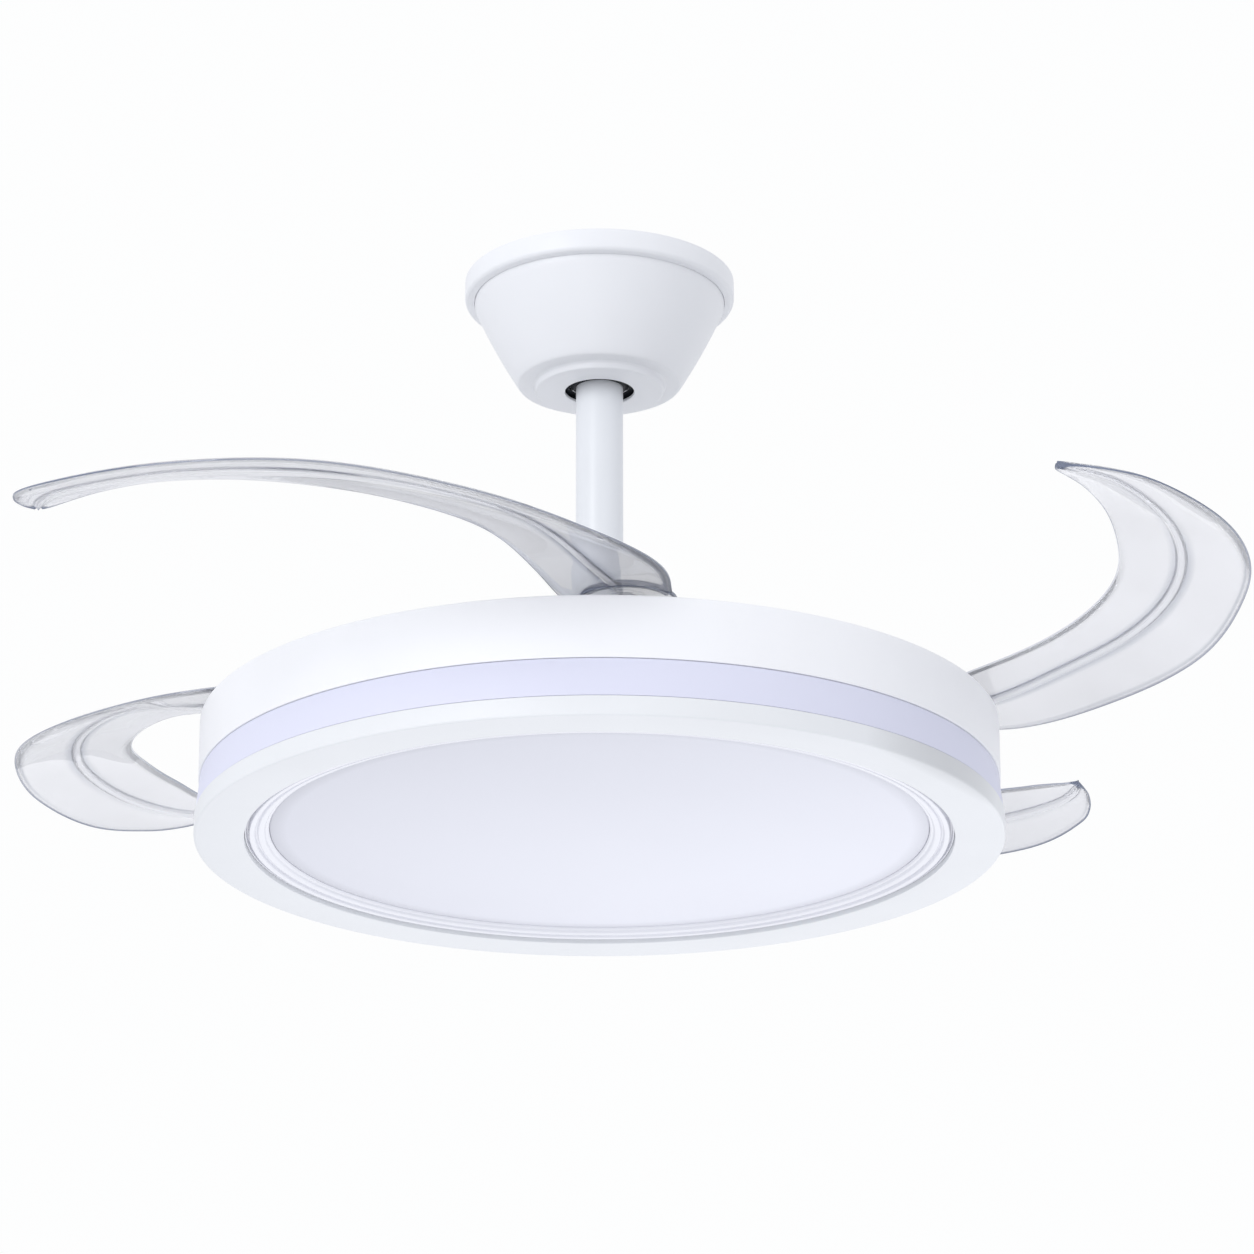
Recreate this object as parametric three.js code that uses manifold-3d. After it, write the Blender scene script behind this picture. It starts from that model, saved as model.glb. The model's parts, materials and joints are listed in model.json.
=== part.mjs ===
// Ceiling fan with four clear blades that fold in over a round lamp body.
// Millimetres, +Z up. The origin is the middle of the ceiling face, so all of the fan hangs below it.
// The blades are built swung out, as they stand while the fan runs.
import * as THREE from 'three';
import { mergeVertices } from 'three/addons/utils/BufferGeometryUtils.js';
import Module from 'manifold-3d';

const wasm = await Module();
wasm.setup();

// ---------------------------------------------------------------- driving dimensions

const gap = 0.3;                      // air left between pieces that seat on each other
const overallDrop = 378;              // ceiling to the underside of the lamp body

const ring = { radius: 86.3, height: 15, wall: 2, corner: 2, lip: 6.3 };
const canopy = {
  skirtRadius: ring.radius - ring.lip, skirtHeight: 17, bottomRadius: 53, height: 71, bulge: 1.1, wall: 2,
  bossRadius: 41.5, bossHeight: 5, holeRadius: 22,
};
const bracket = {
  width: 36, sheet: 3, armSpan: 78, seatRadius: 43, slotLength: 16, slotWidth: 5.5, slotSpacing: 96,
  earDepth: 16,
};
const ball = { radius: 26, drop: 53, bottomCut: 20.5, topCut: 13 };
const seat = { wall: 2.5, low: 14, high: 4 };
const rod = { radius: 15, wall: 2, aboveBall: 24 };
const crossPin = { radius: 3 };
const cotter = { radius: 0.9 };

const drum = {
  radius: 250, height: 74, lowerRingHeight: 12, stripHeight: 23.5, stripRecess: 3, bandRecess: 2,
  wall: 2.5, rimWidth: 31, corner: 1.5, lipWidth: 20, trimWidth: 16,
};
const lens = { recess: 6.5, thickness: 2, flange: 5 };
const tray = { height: 64, sheet: 1.5, dishDepth: 4 };
const pan = { height: 36, sheet: 1.2, flare: 30 };
const board = { radius: 150, thickness: 1.6, ledSize: 5, ledHeight: 0.8, ledRows: [70, 130], ledCount: 6 };
const driver = { length: 110, width: 46, height: 20, offset: 82 };
const standoff = { radius: 5, circle: 170, count: 4 };

const shaft = { radius: 10, bore: 6, flangeRadius: 18, flangeThickness: 5, tail: 16 };
const nut = { radius: 17, height: 9 };
const motor = { radius: 88, bottom: 73, height: 50, wall: 3, split: 20, flangeWidth: 13 };
const bearing = { radius: 21, width: 12 };
const stator = { radius: 60, height: 18, slots: 9, slotDepth: 22, slotWidth: 14, windingReach: 4 };
const magnet = { thickness: 6, airGap: 1.5, height: 20 };
const yoke = { radius: 24, height: 28, seat: 6, collar: 3 };
const setScrew = { radius: 2.5, length: 9 };

const bladeCount = 4;
const pivotRadius = 190;              // from the fan's axis to each blade's pivot
const pivotLead = 4.8;                // degrees that a pivot stands ahead of its quarter
const foldTurn = 75;                  // degrees that a blade swings from run to folded
const plate = { sheet: 3, rim: 22, lift: 4, motorMargin: 16, guideMargin: 20, windowTurn: 50 };
const gear = { module: 2.5, bladeTeeth: 24, thickness: 4, backlash: 0.4, plainRadius: 22, lift: 0.8 };
const syncRing = { width: 32, guideInset: 18, guidePin: 3, height: 1.5 };
const pivot = { radius: 4, headRadius: 8, headHeight: 2.5, bossRadius: 9, bossFlat: 7.5, above: 5 };
const spring = {
  radius: 12.5, wire: 0.4, turns: 2.5, pitch: 1.3, fixedLeg: 25, freeLeg: 11, steps: 8, sides: 5,
};
const springPost = { radius: 1.6, along: 22 };
const springPeg = { radius: 1.2, along: 9 };
const clip = { radius: 10, thickness: 1, mouth: 6, groove: 0.8 };
const blade = {
  seat: 11, thickness: 2.4, edge: 1.4, camber: 1.4, ribHeight: 2.2, ribWidth: 7,
  rootRadius: 30, rootThickness: 3, collarRadius: 27, collarWall: 2, collarHeight: 4,
  stations: 13,
};

// Edges of a blade. Each point is [degrees along the blade from its pivot,
// millimetres outside the pivot circle, millimetres above the root].
const bladeOuterEdge = [
  [-8, 22, 0], [4, 30, 0], [18, 41, -3.5], [36, 38.5, -1.5], [56, 39.5, 3.5], [76, 37.5, 11.5],
  [96, 40, 14.5], [114, 41.5, 14.5], [126, 35, 19.5], [132, 24, 23.5], [134.8, 15, 25.5], [135.8, 8, 26.5],
];
const bladeRib = [
  [-8, 0, 0], [4, 0, 0], [18, -2, 1.5], [36, -1.5, 12.5], [56, -2.3, 17.5], [76, -2.4, 21.5],
  [96, -0.5, 24.5], [114, 3.5, 25], [126, 7.5, 26.5], [132, 8, 26.5], [134.8, 7, 26.8], [135.8, 6, 27],
];
const bladeInnerEdge = [
  [-8, -24, 0], [4, -36, 0], [18, -40.5, 8], [36, -38, 16.5], [56, -39, 22], [76, -38.5, 27],
  [96, -38, 33], [114, -30, 34.5], [126, -21, 33], [132, -12, 31], [134.8, -2, 29], [135.8, 4, 27.6],
];

// ---------------------------------------------------------------- finishes

function finish(color, roughness, metalness, opacity = 1) {
  return new THREE.MeshStandardMaterial({ color, roughness, metalness, opacity, transparent: opacity < 1 });
}
const whitePaint = () => finish(0xeff1f5, 0.42, 0.0);
const whitePlastic = () => finish(0xf2f4f8, 0.4, 0.0);
const lilacAcrylic = () => finish(0xdcdcf4, 0.5, 0.0);
const clearPlastic = () => finish(0xdfe3ea, 0.08, 0.0, 0.35);
const steel = () => finish(0xb4b7bb, 0.35, 0.9);
const darkSteel = () => finish(0x4b4f56, 0.4, 0.85);
const aluminium = () => finish(0xc6c9cc, 0.45, 0.8);
const blackRubber = () => finish(0x1e2227, 0.75, 0.0);
const whiteNylon = () => finish(0xe9e8e2, 0.55, 0.0);
const copper = () => finish(0xb5683a, 0.35, 0.8);
const ferrite = () => finish(0x3a3b3e, 0.6, 0.3);

// ---------------------------------------------------------------- geometry helpers

const degrees = Math.PI / 180;
const big = 2 * overallDrop + 2 * drum.radius;

// A closed geometry whose shared vertices are merged and whose faces point out.
function closed(geometry) {
  const plain = geometry.clone();
  for (const name of Object.keys(plain.attributes)) {
    if (name !== 'position') plain.deleteAttribute(name);
  }
  const merged = mergeVertices(plain, 1e-4);
  const index = merged.index.array;
  const at = merged.attributes.position;
  const corner = [new THREE.Vector3(), new THREE.Vector3(), new THREE.Vector3()];
  const kept = [];
  let volume = 0;
  for (let i = 0; i < index.length; i += 3) {
    const [a, b, c] = [index[i], index[i + 1], index[i + 2]];
    if (a === b || b === c || a === c) continue;
    corner[0].fromBufferAttribute(at, a);
    corner[1].fromBufferAttribute(at, b);
    corner[2].fromBufferAttribute(at, c);
    volume += corner[0].dot(corner[1].cross(corner[2]));
    kept.push(a, b, c);
  }
  if (volume < 0) kept.reverse();
  merged.setIndex(kept);
  return merged;
}

function toSolid(geometry) {
  const body = closed(geometry);
  const mesh = new wasm.Mesh({
    numProp: 3,
    vertProperties: new Float32Array(body.attributes.position.array),
    triVerts: new Uint32Array(body.index.array),
  });
  return new wasm.Manifold(mesh);
}

function toGeometry(solid) {
  const mesh = solid.getMesh();
  const geometry = new THREE.BufferGeometry();
  geometry.setAttribute('position', new THREE.BufferAttribute(new Float32Array(mesh.vertProperties), 3));
  geometry.setIndex(new THREE.BufferAttribute(new Uint32Array(mesh.triVerts), 1));
  return geometry;
}

function cut(body, ...tools) {
  return toGeometry(tools.reduce((solid, tool) => solid.subtract(toSolid(tool)), toSolid(body)));
}

function join(body, ...others) {
  return toGeometry(others.reduce((solid, other) => solid.add(toSolid(other)), toSolid(body)));
}

function common(body, other) {
  return toGeometry(toSolid(body).intersect(toSolid(other)));
}

// A closed profile from [radius, height, fillet] corners, each fillet drawn as an arc of a few steps.
function rounded(corners, steps = 3) {
  const points = [];
  corners.forEach(([x, y, fillet = 0], i) => {
    const here = new THREE.Vector2(x, y);
    const before = new THREE.Vector2(...corners.at(i - 1));
    const after = new THREE.Vector2(...corners[(i + 1) % corners.length]);
    const toBefore = before.clone().sub(here);
    const toAfter = after.clone().sub(here);
    const reach = Math.min(fillet, toBefore.length() / 2, toAfter.length() / 2);
    if (reach === 0) {
      points.push(here);
      return;
    }
    const start = here.clone().addScaledVector(toBefore.normalize(), reach);
    const end = here.clone().addScaledVector(toAfter.normalize(), reach);
    const arc = new THREE.QuadraticBezierCurve(start, here, end);
    points.push(...arc.getPoints(steps));
  });
  points.push(points[0].clone());
  return points;
}

// Turned about the Z axis. Points are [radius, height] or Vector2, and close on themselves.
function turned(points, segments) {
  const profile = points.map((p) => (p instanceof THREE.Vector2 ? p : new THREE.Vector2(p[0], p[1])));
  if (!profile[0].equals(profile.at(-1))) profile.push(profile[0].clone());
  return new THREE.LatheGeometry(profile, segments).rotateX(Math.PI / 2);
}

function slab(width, depth, height, x = 0, y = 0, bottom = 0) {
  return new THREE.BoxGeometry(width, depth, height).translate(x, y, bottom + height / 2);
}

function upright(radius, height, x = 0, y = 0, bottom = 0, segments = 16) {
  const body = new THREE.CylinderGeometry(radius, radius, height, segments).rotateX(Math.PI / 2);
  return body.translate(x, y, bottom + height / 2);
}

// A round bar along X.
function crossBar(radius, length, x = 0, z = 0, segments = 12) {
  const bar = new THREE.CylinderGeometry(radius, radius, length, segments).rotateZ(Math.PI / 2);
  return bar.translate(x, 0, z);
}

function prism(shape, height, bottom = 0, curveSegments = 12) {
  const body = new THREE.ExtrudeGeometry(shape, { depth: height, bevelEnabled: false, curveSegments });
  return body.translate(0, 0, bottom);
}

// An upright prism shaped as a slot with round ends, its long side along X.
function slotTool(length, width, height, x, y, bottom) {
  const half = (length - width) / 2;
  const shape = new THREE.Shape();
  shape.absarc(half, 0, width / 2, -Math.PI / 2, Math.PI / 2);
  shape.absarc(-half, 0, width / 2, Math.PI / 2, 1.5 * Math.PI);
  return prism(shape, height, bottom, 4).translate(x, y, 0);
}

// A stretch of a flat ring between two angles in degrees.
function ringSector(inner, outer, from, to) {
  const shape = new THREE.Shape();
  shape.absarc(0, 0, outer, from * degrees, to * degrees, false);
  shape.absarc(0, 0, inner, to * degrees, from * degrees, true);
  return shape;
}

function place(group, name, geometry, material) {
  const mesh = new THREE.Mesh(closed(geometry), material);
  mesh.name = name;
  group.add(mesh);
  return mesh;
}

// ---------------------------------------------------------------- places worked out from the sizes

const fan = new THREE.Group();
const drumFloor = -overallDrop;       // the underside of the lamp body
const hanging = new THREE.Group();    // everything given as a height above that underside
hanging.position.z = drumFloor;
fan.add(hanging);

const ballHeight = overallDrop - ball.drop;
const trayFloor = tray.height - tray.dishDepth;
const flangeTop = trayFloor + tray.sheet + gap + shaft.flangeThickness;
const plateBottom = motor.bottom + plate.lift;
const plateTop = plateBottom + plate.sheet;
const bladeRoot = plateTop + blade.seat;        // middle of the sheet at a blade's root
const motorTop = motor.bottom + motor.height;
const yokeBottom = motorTop + 2;
const rodBottom = yokeBottom + yoke.seat + gap;
const clevisHeight = rodBottom + (yoke.height - yoke.seat) / 2;
const rodTop = ballHeight + rod.aboveBall;

// ---------------------------------------------------------------- ceiling fixings

const canopyScrewHeight = -ring.height / 2 - 1;
const canopySteps = 3;
const canopySegments = 28;

// Pressed steel hanger: a strap against the ceiling, two arms, and a cup that the ball hangs in.
function ceilingBracket() {
  const cupInner = ball.radius + 2 * gap + seat.wall + gap;
  const cupOuter = cupInner + seat.wall;
  const low = -seat.low - 1;
  const high = -seat.high + 2;
  const radiusAt = (radius, z) => Math.sqrt(radius * radius - z * z);
  const steps = [0, 0.5, 1];
  const inside = steps.map((t) => low + t * (high - low)).map((z) => [radiusAt(cupInner, z), z]);
  const outside = steps.map((t) => high - seat.wall - t * (high - seat.wall - low));
  const cup = turned([
    ...inside,
    [bracket.seatRadius, high],
    [bracket.seatRadius, high - seat.wall],
    ...outside.map((z) => [radiusAt(cupOuter, z), z]),
  ], 18).translate(0, 0, -ball.drop);
  const bowlInside = (canopy.skirtRadius - canopy.wall) * Math.cos(Math.PI / canopySegments);
  const strapEnd = Math.sqrt(bowlInside ** 2 - (bracket.width / 2) ** 2) - gap;
  const earX = strapEnd - bracket.sheet / 2;
  const armX = bracket.armSpan / 2;
  const armLength = ball.drop - high;
  const strap = slab(2 * earX + bracket.sheet, bracket.width, bracket.sheet, 0, 0, -bracket.sheet);
  const arms = [-1, 1].map((side) => slab(bracket.sheet, bracket.width - 8, armLength,
    side * armX, 0, -armLength));
  const ears = [-1, 1].map((side) => slab(bracket.sheet, bracket.width - 16, bracket.earDepth,
    side * earX, 0, -bracket.earDepth));
  const slots = [-1, 1].map((side) => slotTool(bracket.slotLength, bracket.slotWidth, 3 * bracket.sheet,
    side * bracket.slotSpacing / 2, 0, -2 * bracket.sheet));
  const screwHole = crossBar(1.7, 3 * earX, 0, canopyScrewHeight, 10);
  const gateWidth = 2 * rod.radius + 4;
  const gate = slab(gateWidth, 2 * bracket.seatRadius, 2 * ball.radius, 0, bracket.seatRadius,
    -ball.drop - ball.radius);
  return cut(join(strap, ...arms, ...ears, cup), ...slots, screwHole, gate);
}

// Spun steel bowl with a raised boss round the hole that the rod hangs through.
function canopyBowl() {
  const { skirtRadius, skirtHeight, bottomRadius, height, bulge, wall } = canopy;
  const { bossRadius, bossHeight, holeRadius } = canopy;
  const side = (inset) => {
    const top = new THREE.Vector2(skirtRadius - inset, -skirtHeight);
    const low = new THREE.Vector2(bottomRadius - inset, -height + 2 + inset);
    const middle = top.clone().add(low).divideScalar(2);
    middle.x += bulge;
    const slope = new THREE.SplineCurve([top, middle, low]).getPoints(canopySteps);
    return [new THREE.Vector2(skirtRadius - inset, -gap), ...slope];
  };
  const floor = -height;
  return turned([
    ...side(0),
    [bottomRadius - 2, floor],
    [bossRadius, floor],
    [bossRadius - 0.8, floor - bossHeight],
    [holeRadius, floor - bossHeight],
    [holeRadius, floor - bossHeight + wall],
    [bossRadius - 0.8 - wall, floor - bossHeight + wall],
    [bossRadius - wall, floor + wall],
    ...side(wall).reverse(),
  ], canopySegments);
}

// The hoop that slips over the bowl's screws: a tall wall turned in at the bottom.
function canopyHoop() {
  const inner = canopy.skirtRadius + gap;
  return turned(rounded([
    [ring.radius, -gap, 1],
    [ring.radius, -ring.height, ring.corner],
    [inner, -ring.height, 0],
    [inner, -ring.height + ring.wall, 0],
    [ring.radius - ring.wall, -ring.height + ring.wall, 0],
    [ring.radius - ring.wall, -gap, 0],
  ], 1), canopySegments);
}

function canopyScrew(side) {
  const headX = canopy.skirtRadius + gap;
  const head = crossBar(3.6, 2, headX + 1, 0, 12);
  const stemStart = canopy.skirtRadius - canopy.wall - 9;
  const stem = crossBar(1.4, headX + 1 - stemStart, (headX + 1 + stemStart) / 2, 0, 10);
  return join(head, stem).scale(side, 1, 1).translate(0, 0, canopyScrewHeight);
}

const canopyScrewHoles = crossBar(1.7, big, 0, canopyScrewHeight, 10);
const bowl = cut(canopyBowl(), canopyScrewHoles);
place(fan, 'ceiling_bracket', ceilingBracket(), steel());
place(fan, 'canopy', bowl, whitePaint());
place(fan, 'canopy_ring', canopyHoop(), whitePaint());
place(fan, 'canopy_screw_1', canopyScrew(1), steel());
place(fan, 'canopy_screw_2', canopyScrew(-1), steel());

// Control box and terminal block, side by side under the strap and between its arms.
const receiver = { length: 42, width: 26, height: 15 };
const terminal = { length: 18, width: 24, height: 12 };
const boxEdge = bracket.armSpan / 2 - bracket.sheet / 2 - 1;
const boxTop = -bracket.sheet - gap;
place(fan, 'receiver', slab(receiver.length, receiver.width, receiver.height,
  -boxEdge + receiver.length / 2, 0, boxTop - receiver.height), whitePlastic());
place(fan, 'terminal_block', slab(terminal.length, terminal.width, terminal.height,
  boxEdge - terminal.length / 2, 0, boxTop - terminal.height), whiteNylon());

// ---------------------------------------------------------------- ball joint and downrod

function ballSeat() {
  const inner = ball.radius + gap;
  const outer = inner + seat.wall;
  const at = (radius, z) => [Math.sqrt(radius * radius - z * z), z];
  const levels = [-seat.low, -(seat.low + seat.high) / 2, -seat.high];
  const body = turned([
    ...levels.map((z) => at(inner, z)),
    ...levels.map((z) => at(outer, z)).reverse(),
  ], 20);
  const gateWidth = 2 * rod.radius + 4;
  const gate = slab(gateWidth, 2 * outer, 2 * outer, 0, outer, -outer);
  return cut(body, gate).translate(0, 0, ballHeight);
}

function hangerBall() {
  const bore = rod.radius + gap;
  const start = -Math.asin(ball.bottomCut / ball.radius);
  const end = Math.asin(ball.topCut / ball.radius);
  const steps = 6;
  const skin = [];
  for (let i = 0; i <= steps; i += 1) {
    const angle = start + (end - start) * i / steps;
    skin.push([ball.radius * Math.cos(angle), ball.radius * Math.sin(angle)]);
  }
  const body = turned([...skin, [bore, ball.topCut], [bore, -ball.bottomCut]], 20);
  return cut(body, crossBar(crossPin.radius + gap, 3 * ball.radius)).translate(0, 0, ballHeight);
}

function downrod() {
  const inner = rod.radius - rod.wall;
  const tube = turned([
    [inner, rodBottom], [rod.radius, rodBottom], [rod.radius, rodTop], [inner, rodTop],
  ], 18);
  const holes = [ballHeight, clevisHeight].map((z) => crossBar(crossPin.radius + gap, 4 * rod.radius, 0, z));
  return cut(tube, ...holes);
}

const ballPinLength = 2 * ball.radius - 2;
place(hanging, 'ball_seat', ballSeat(), whiteNylon());
place(hanging, 'hanger_ball', hangerBall(), blackRubber());
place(hanging, 'ball_pin', crossBar(crossPin.radius, ballPinLength, 0, ballHeight), steel());
place(hanging, 'downrod', downrod(), whitePaint());

// ---------------------------------------------------------------- yoke that joins rod and motor shaft

function yokeBody() {
  const { radius, height, collar } = yoke;
  const rodBore = rod.radius + gap;
  const top = yokeBottom + height;
  const body = turned([
    [shaft.radius + gap, yokeBottom],
    [radius - 2, yokeBottom],
    [radius, yokeBottom + 3],
    [radius, top - collar],
    [radius - collar, top],
    [rodBore, top],
    [rodBore, rodBottom - gap],
    [shaft.radius + gap, rodBottom - gap],
  ], 18);
  const pinHole = crossBar(crossPin.radius + gap, 3 * radius, 0, clevisHeight);
  const screwHole = crossBar(setScrew.radius + gap, radius, radius, clevisHeight).rotateZ(Math.PI / 2);
  return cut(body, pinHole, screwHole);
}

function clevisPin() {
  const head = crossBar(crossPin.radius + 2, 2.5, yoke.radius + gap + 1.25, clevisHeight);
  const start = -yoke.radius - 7;
  const end = yoke.radius + 1;
  const stem = crossBar(crossPin.radius, end - start, (end + start) / 2, clevisHeight);
  const cotterHole = upright(cotter.radius + 2 * gap, 4 * crossPin.radius, cotterX, 0,
    clevisHeight - 2 * crossPin.radius, 10);
  return cut(join(head, stem), cotterHole);
}

// Spring clip: a straight leg through the pin, turned over into a leg that passes outside it.
function cotterPin() {
  const reach = crossPin.radius + 6;
  const outside = crossPin.radius + cotter.radius + 1;
  const at = (y, z) => new THREE.Vector3(cotterX, y, clevisHeight + z);
  const path = new THREE.CurvePath();
  path.add(new THREE.LineCurve3(at(0, -reach), at(0, reach - 3)));
  path.add(new THREE.CubicBezierCurve3(at(0, reach - 3), at(0, reach + 3), at(outside + 2, reach + 3),
    at(outside + 2, reach - 4)));
  path.add(new THREE.CubicBezierCurve3(at(outside + 2, reach - 4), at(outside + 2, 3), at(outside, 2),
    at(outside, -reach)));
  const section = new THREE.Shape().absarc(0, 0, cotter.radius, 0, 2 * Math.PI);
  return new THREE.ExtrudeGeometry(section, {
    steps: 16, extrudePath: path, bevelEnabled: false, curveSegments: 3,
  });
}

const cotterX = -yoke.radius - 3.5;
place(hanging, 'yoke', yokeBody(), whitePaint());
place(hanging, 'clevis_pin', clevisPin(), steel());
place(hanging, 'cotter_pin', cotterPin(), steel());
place(hanging, 'set_screw', crossBar(setScrew.radius, setScrew.length,
  rod.radius + gap + setScrew.length / 2, clevisHeight).rotateZ(Math.PI / 2), darkSteel());

// ---------------------------------------------------------------- motor: fixed shaft, turning case

const lowerBearingBottom = motor.bottom + motor.wall;
const upperBearingBottom = motorTop - motor.wall - bearing.width;
const caseSegments = 22;
const statorBottom = (lowerBearingBottom + bearing.width + upperBearingBottom - stator.height) / 2;

function motorShaft() {
  const tail = trayFloor - nut.height - gap - shaft.tail / 2;
  return turned([
    [shaft.bore, tail],
    [shaft.radius, tail],
    [shaft.radius, flangeTop - shaft.flangeThickness],
    [shaft.flangeRadius, flangeTop - shaft.flangeThickness],
    [shaft.flangeRadius, flangeTop],
    [shaft.radius, flangeTop],
    [shaft.radius, yokeBottom + yoke.seat],
    [shaft.bore, yokeBottom + yoke.seat],
  ], 16);
}

function ballBearing(bottom) {
  const bore = shaft.radius + gap;
  const top = bottom + bearing.width;
  return turned([[bore, bottom], [bearing.radius, bottom], [bearing.radius, top], [bore, top]], 16);
}

function caseLower() {
  const { radius, bottom, wall, split, flangeWidth } = motor;
  const seatRadius = bearing.radius + gap;
  const flangeTopHeight = plateBottom - gap;
  return turned([
    [shaft.radius + 2, bottom],
    [radius + flangeWidth, bottom],
    [radius + flangeWidth, flangeTopHeight],
    [radius, flangeTopHeight],
    [radius, bottom + split],
    [radius - wall, bottom + split],
    [radius - wall, bottom + wall - gap],
    [seatRadius + wall, bottom + wall - gap],
    [seatRadius + wall, bottom + wall + bearing.width - 2],
    [seatRadius, bottom + wall + bearing.width - 2],
    [seatRadius, bottom + wall - gap],
    [shaft.radius + 2, bottom + wall - gap],
  ], caseSegments);
}

function caseUpper() {
  const { radius, bottom, wall, split } = motor;
  const seatRadius = bearing.radius + gap;
  const start = bottom + split + gap;
  const inside = motorTop - wall + gap;
  return turned([
    [radius, start],
    [radius, motorTop - 12],
    [radius - 3.5, motorTop - 3.5],
    [radius - 12, motorTop],
    [shaft.radius + 2, motorTop],
    [shaft.radius + 2, inside],
    [seatRadius, inside],
    [seatRadius, upperBearingBottom + 2],
    [seatRadius + wall, upperBearingBottom + 2],
    [seatRadius + wall, inside],
    [radius - 14, inside],
    [radius - wall, motorTop - 14],
    [radius - wall, start],
  ], caseSegments);
}

// Laminated core with its winding slots open to the magnets.
function statorCore() {
  const core = new THREE.Shape().absarc(0, 0, stator.radius, 0, 2 * Math.PI);
  core.holes.push(new THREE.Path().absarc(0, 0, shaft.radius + gap, 0, 2 * Math.PI));
  const body = prism(core, stator.height, statorBottom, 9);
  const slots = [];
  for (let i = 0; i < stator.slots; i += 1) {
    const middle = stator.radius - 8 - stator.slotDepth / 2;
    const slot = slab(stator.slotDepth, stator.slotWidth, 2 * stator.height, middle, 0, statorBottom - 5);
    const mouth = slab(stator.slotDepth, 3, 2 * stator.height, stator.radius, 0, statorBottom - 5);
    const turn = (i + 0.5) * 2 * Math.PI / stator.slots;
    slots.push(slot.rotateZ(turn), mouth.rotateZ(turn));
  }
  return cut(body, ...slots);
}

// All the coils as one wound ring: it fills the slots and bulges past the core above and below.
function statorWinding() {
  const inner = stator.radius - 8 - stator.slotDepth + 1;
  const outer = stator.radius - 9;
  const reach = stator.windingReach;
  const top = statorBottom + stator.height;
  const crowns = [[statorBottom - gap - reach, statorBottom - gap], [top + gap, top + gap + reach]];
  const rings = crowns.map(([low, high]) => turned([
    [inner, low], [outer, low], [outer, high], [inner, high],
  ], 18));
  const slots = [];
  for (let i = 0; i < stator.slots; i += 1) {
    const middle = stator.radius - 8 - stator.slotDepth / 2;
    const bar = slab(stator.slotDepth - 3, stator.slotWidth - 2 * gap - 1, stator.height + 2, middle, 0,
      statorBottom - 1);
    slots.push(bar.rotateZ((i + 0.5) * 2 * Math.PI / stator.slots));
  }
  return join(rings[0], rings[1], ...slots);
}

function magnetRing() {
  const inner = stator.radius + magnet.airGap;
  const outer = inner + magnet.thickness;
  const low = statorBottom + (stator.height - magnet.height) / 2;
  const high = low + magnet.height;
  return turned([[inner, low], [outer, low], [outer, high], [inner, high]], caseSegments);
}

// Steel hoop that carries the magnets inside the case.
function rotorYoke() {
  const inner = stator.radius + magnet.airGap + magnet.thickness + gap;
  const outer = motor.radius - motor.wall - gap;
  const low = motor.bottom + motor.wall + gap;
  const high = low + magnet.height + 6;
  return turned([[inner, low], [outer, low], [outer, high], [inner, high]], caseSegments);
}

place(hanging, 'motor_shaft', motorShaft(), steel());
place(hanging, 'bearing_lower', ballBearing(lowerBearingBottom), steel());
place(hanging, 'bearing_upper', ballBearing(upperBearingBottom), steel());
place(hanging, 'stator_core', statorCore(), darkSteel());
place(hanging, 'stator_winding', statorWinding(), copper());
place(hanging, 'rotor_case_lower', caseLower(), aluminium());
place(hanging, 'rotor_case_upper', caseUpper(), whitePaint());
place(hanging, 'magnet_ring', magnetRing(), ferrite());
place(hanging, 'rotor_back_iron', rotorYoke(), darkSteel());

// ---------------------------------------------------------------- lamp body

const bandRadius = drum.radius - drum.bandRecess;
const stripTop = drum.lowerRingHeight + drum.stripHeight;
const innerWall = drum.radius - drum.rimWidth;
const lensRadius = innerWall - drum.trimWidth;
const drumSegments = 36;

function topBand() {
  const { height, wall, corner, lipWidth } = drum;
  const bottom = stripTop + gap;
  const legFoot = tray.height + tray.sheet + gap;
  return turned(rounded([
    [bandRadius, bottom, 0],
    [bandRadius, height, corner],
    [bandRadius - lipWidth, height, 0],
    [bandRadius - lipWidth, legFoot, 0],
    [bandRadius - lipWidth + wall, legFoot, 0],
    [bandRadius - lipWidth + wall, height - wall, 0],
    [bandRadius - wall, height - wall, 0],
    [bandRadius - wall, bottom, 0],
  ], 1), drumSegments);
}

function sideDiffuser() {
  const low = drum.lowerRingHeight + gap;
  const foot = drum.radius - 0.5;
  const head = drum.radius - drum.stripRecess;
  return turned([
    [foot, low], [head, stripTop], [head - drum.wall, stripTop], [foot - drum.wall, low],
  ], drumSegments);
}

function lowerRing() {
  const { radius, lowerRingHeight, wall, corner } = drum;
  return turned(rounded([
    [innerWall, 0, 0],
    [radius, 0, corner],
    [radius, lowerRingHeight, 0],
    [radius - wall, lowerRingHeight, 0],
    [radius - wall, wall, 0],
    [innerWall + wall, wall, 0],
    [innerWall + wall, panFoot - gap, 0],
    [innerWall, panFoot - gap, 0],
  ], 1), drumSegments);
}

const panFoot = 11.5;
const lensFlangeBottom = lens.recess + lens.thickness + 0.6;

// Stepped trim between the bright ring and the lens.
function trimRing() {
  const outer = innerWall - gap;
  const inner = lensRadius + gap;
  const width = outer - inner;
  const top = lensFlangeBottom - gap;
  return turned([
    [outer, 0.8],
    [outer - width * 0.22, 4.2],
    [outer - width * 0.32, 2.8],
    [outer - width * 0.78, 5.2],
    [inner, lens.recess - 0.5],
    [inner, top],
    [outer, top],
  ], drumSegments);
}

function lensDisc() {
  const { recess, thickness, flange } = lens;
  const top = lensFlangeBottom + 1.8;
  return turned([
    [0, recess],
    [lensRadius, recess],
    [lensRadius, lensFlangeBottom],
    [lensRadius + flange, lensFlangeBottom],
    [lensRadius + flange, top],
    [lensRadius - thickness, top],
    [lensRadius - thickness, recess + thickness],
    [0, recess + thickness],
  ], drumSegments);
}

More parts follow.
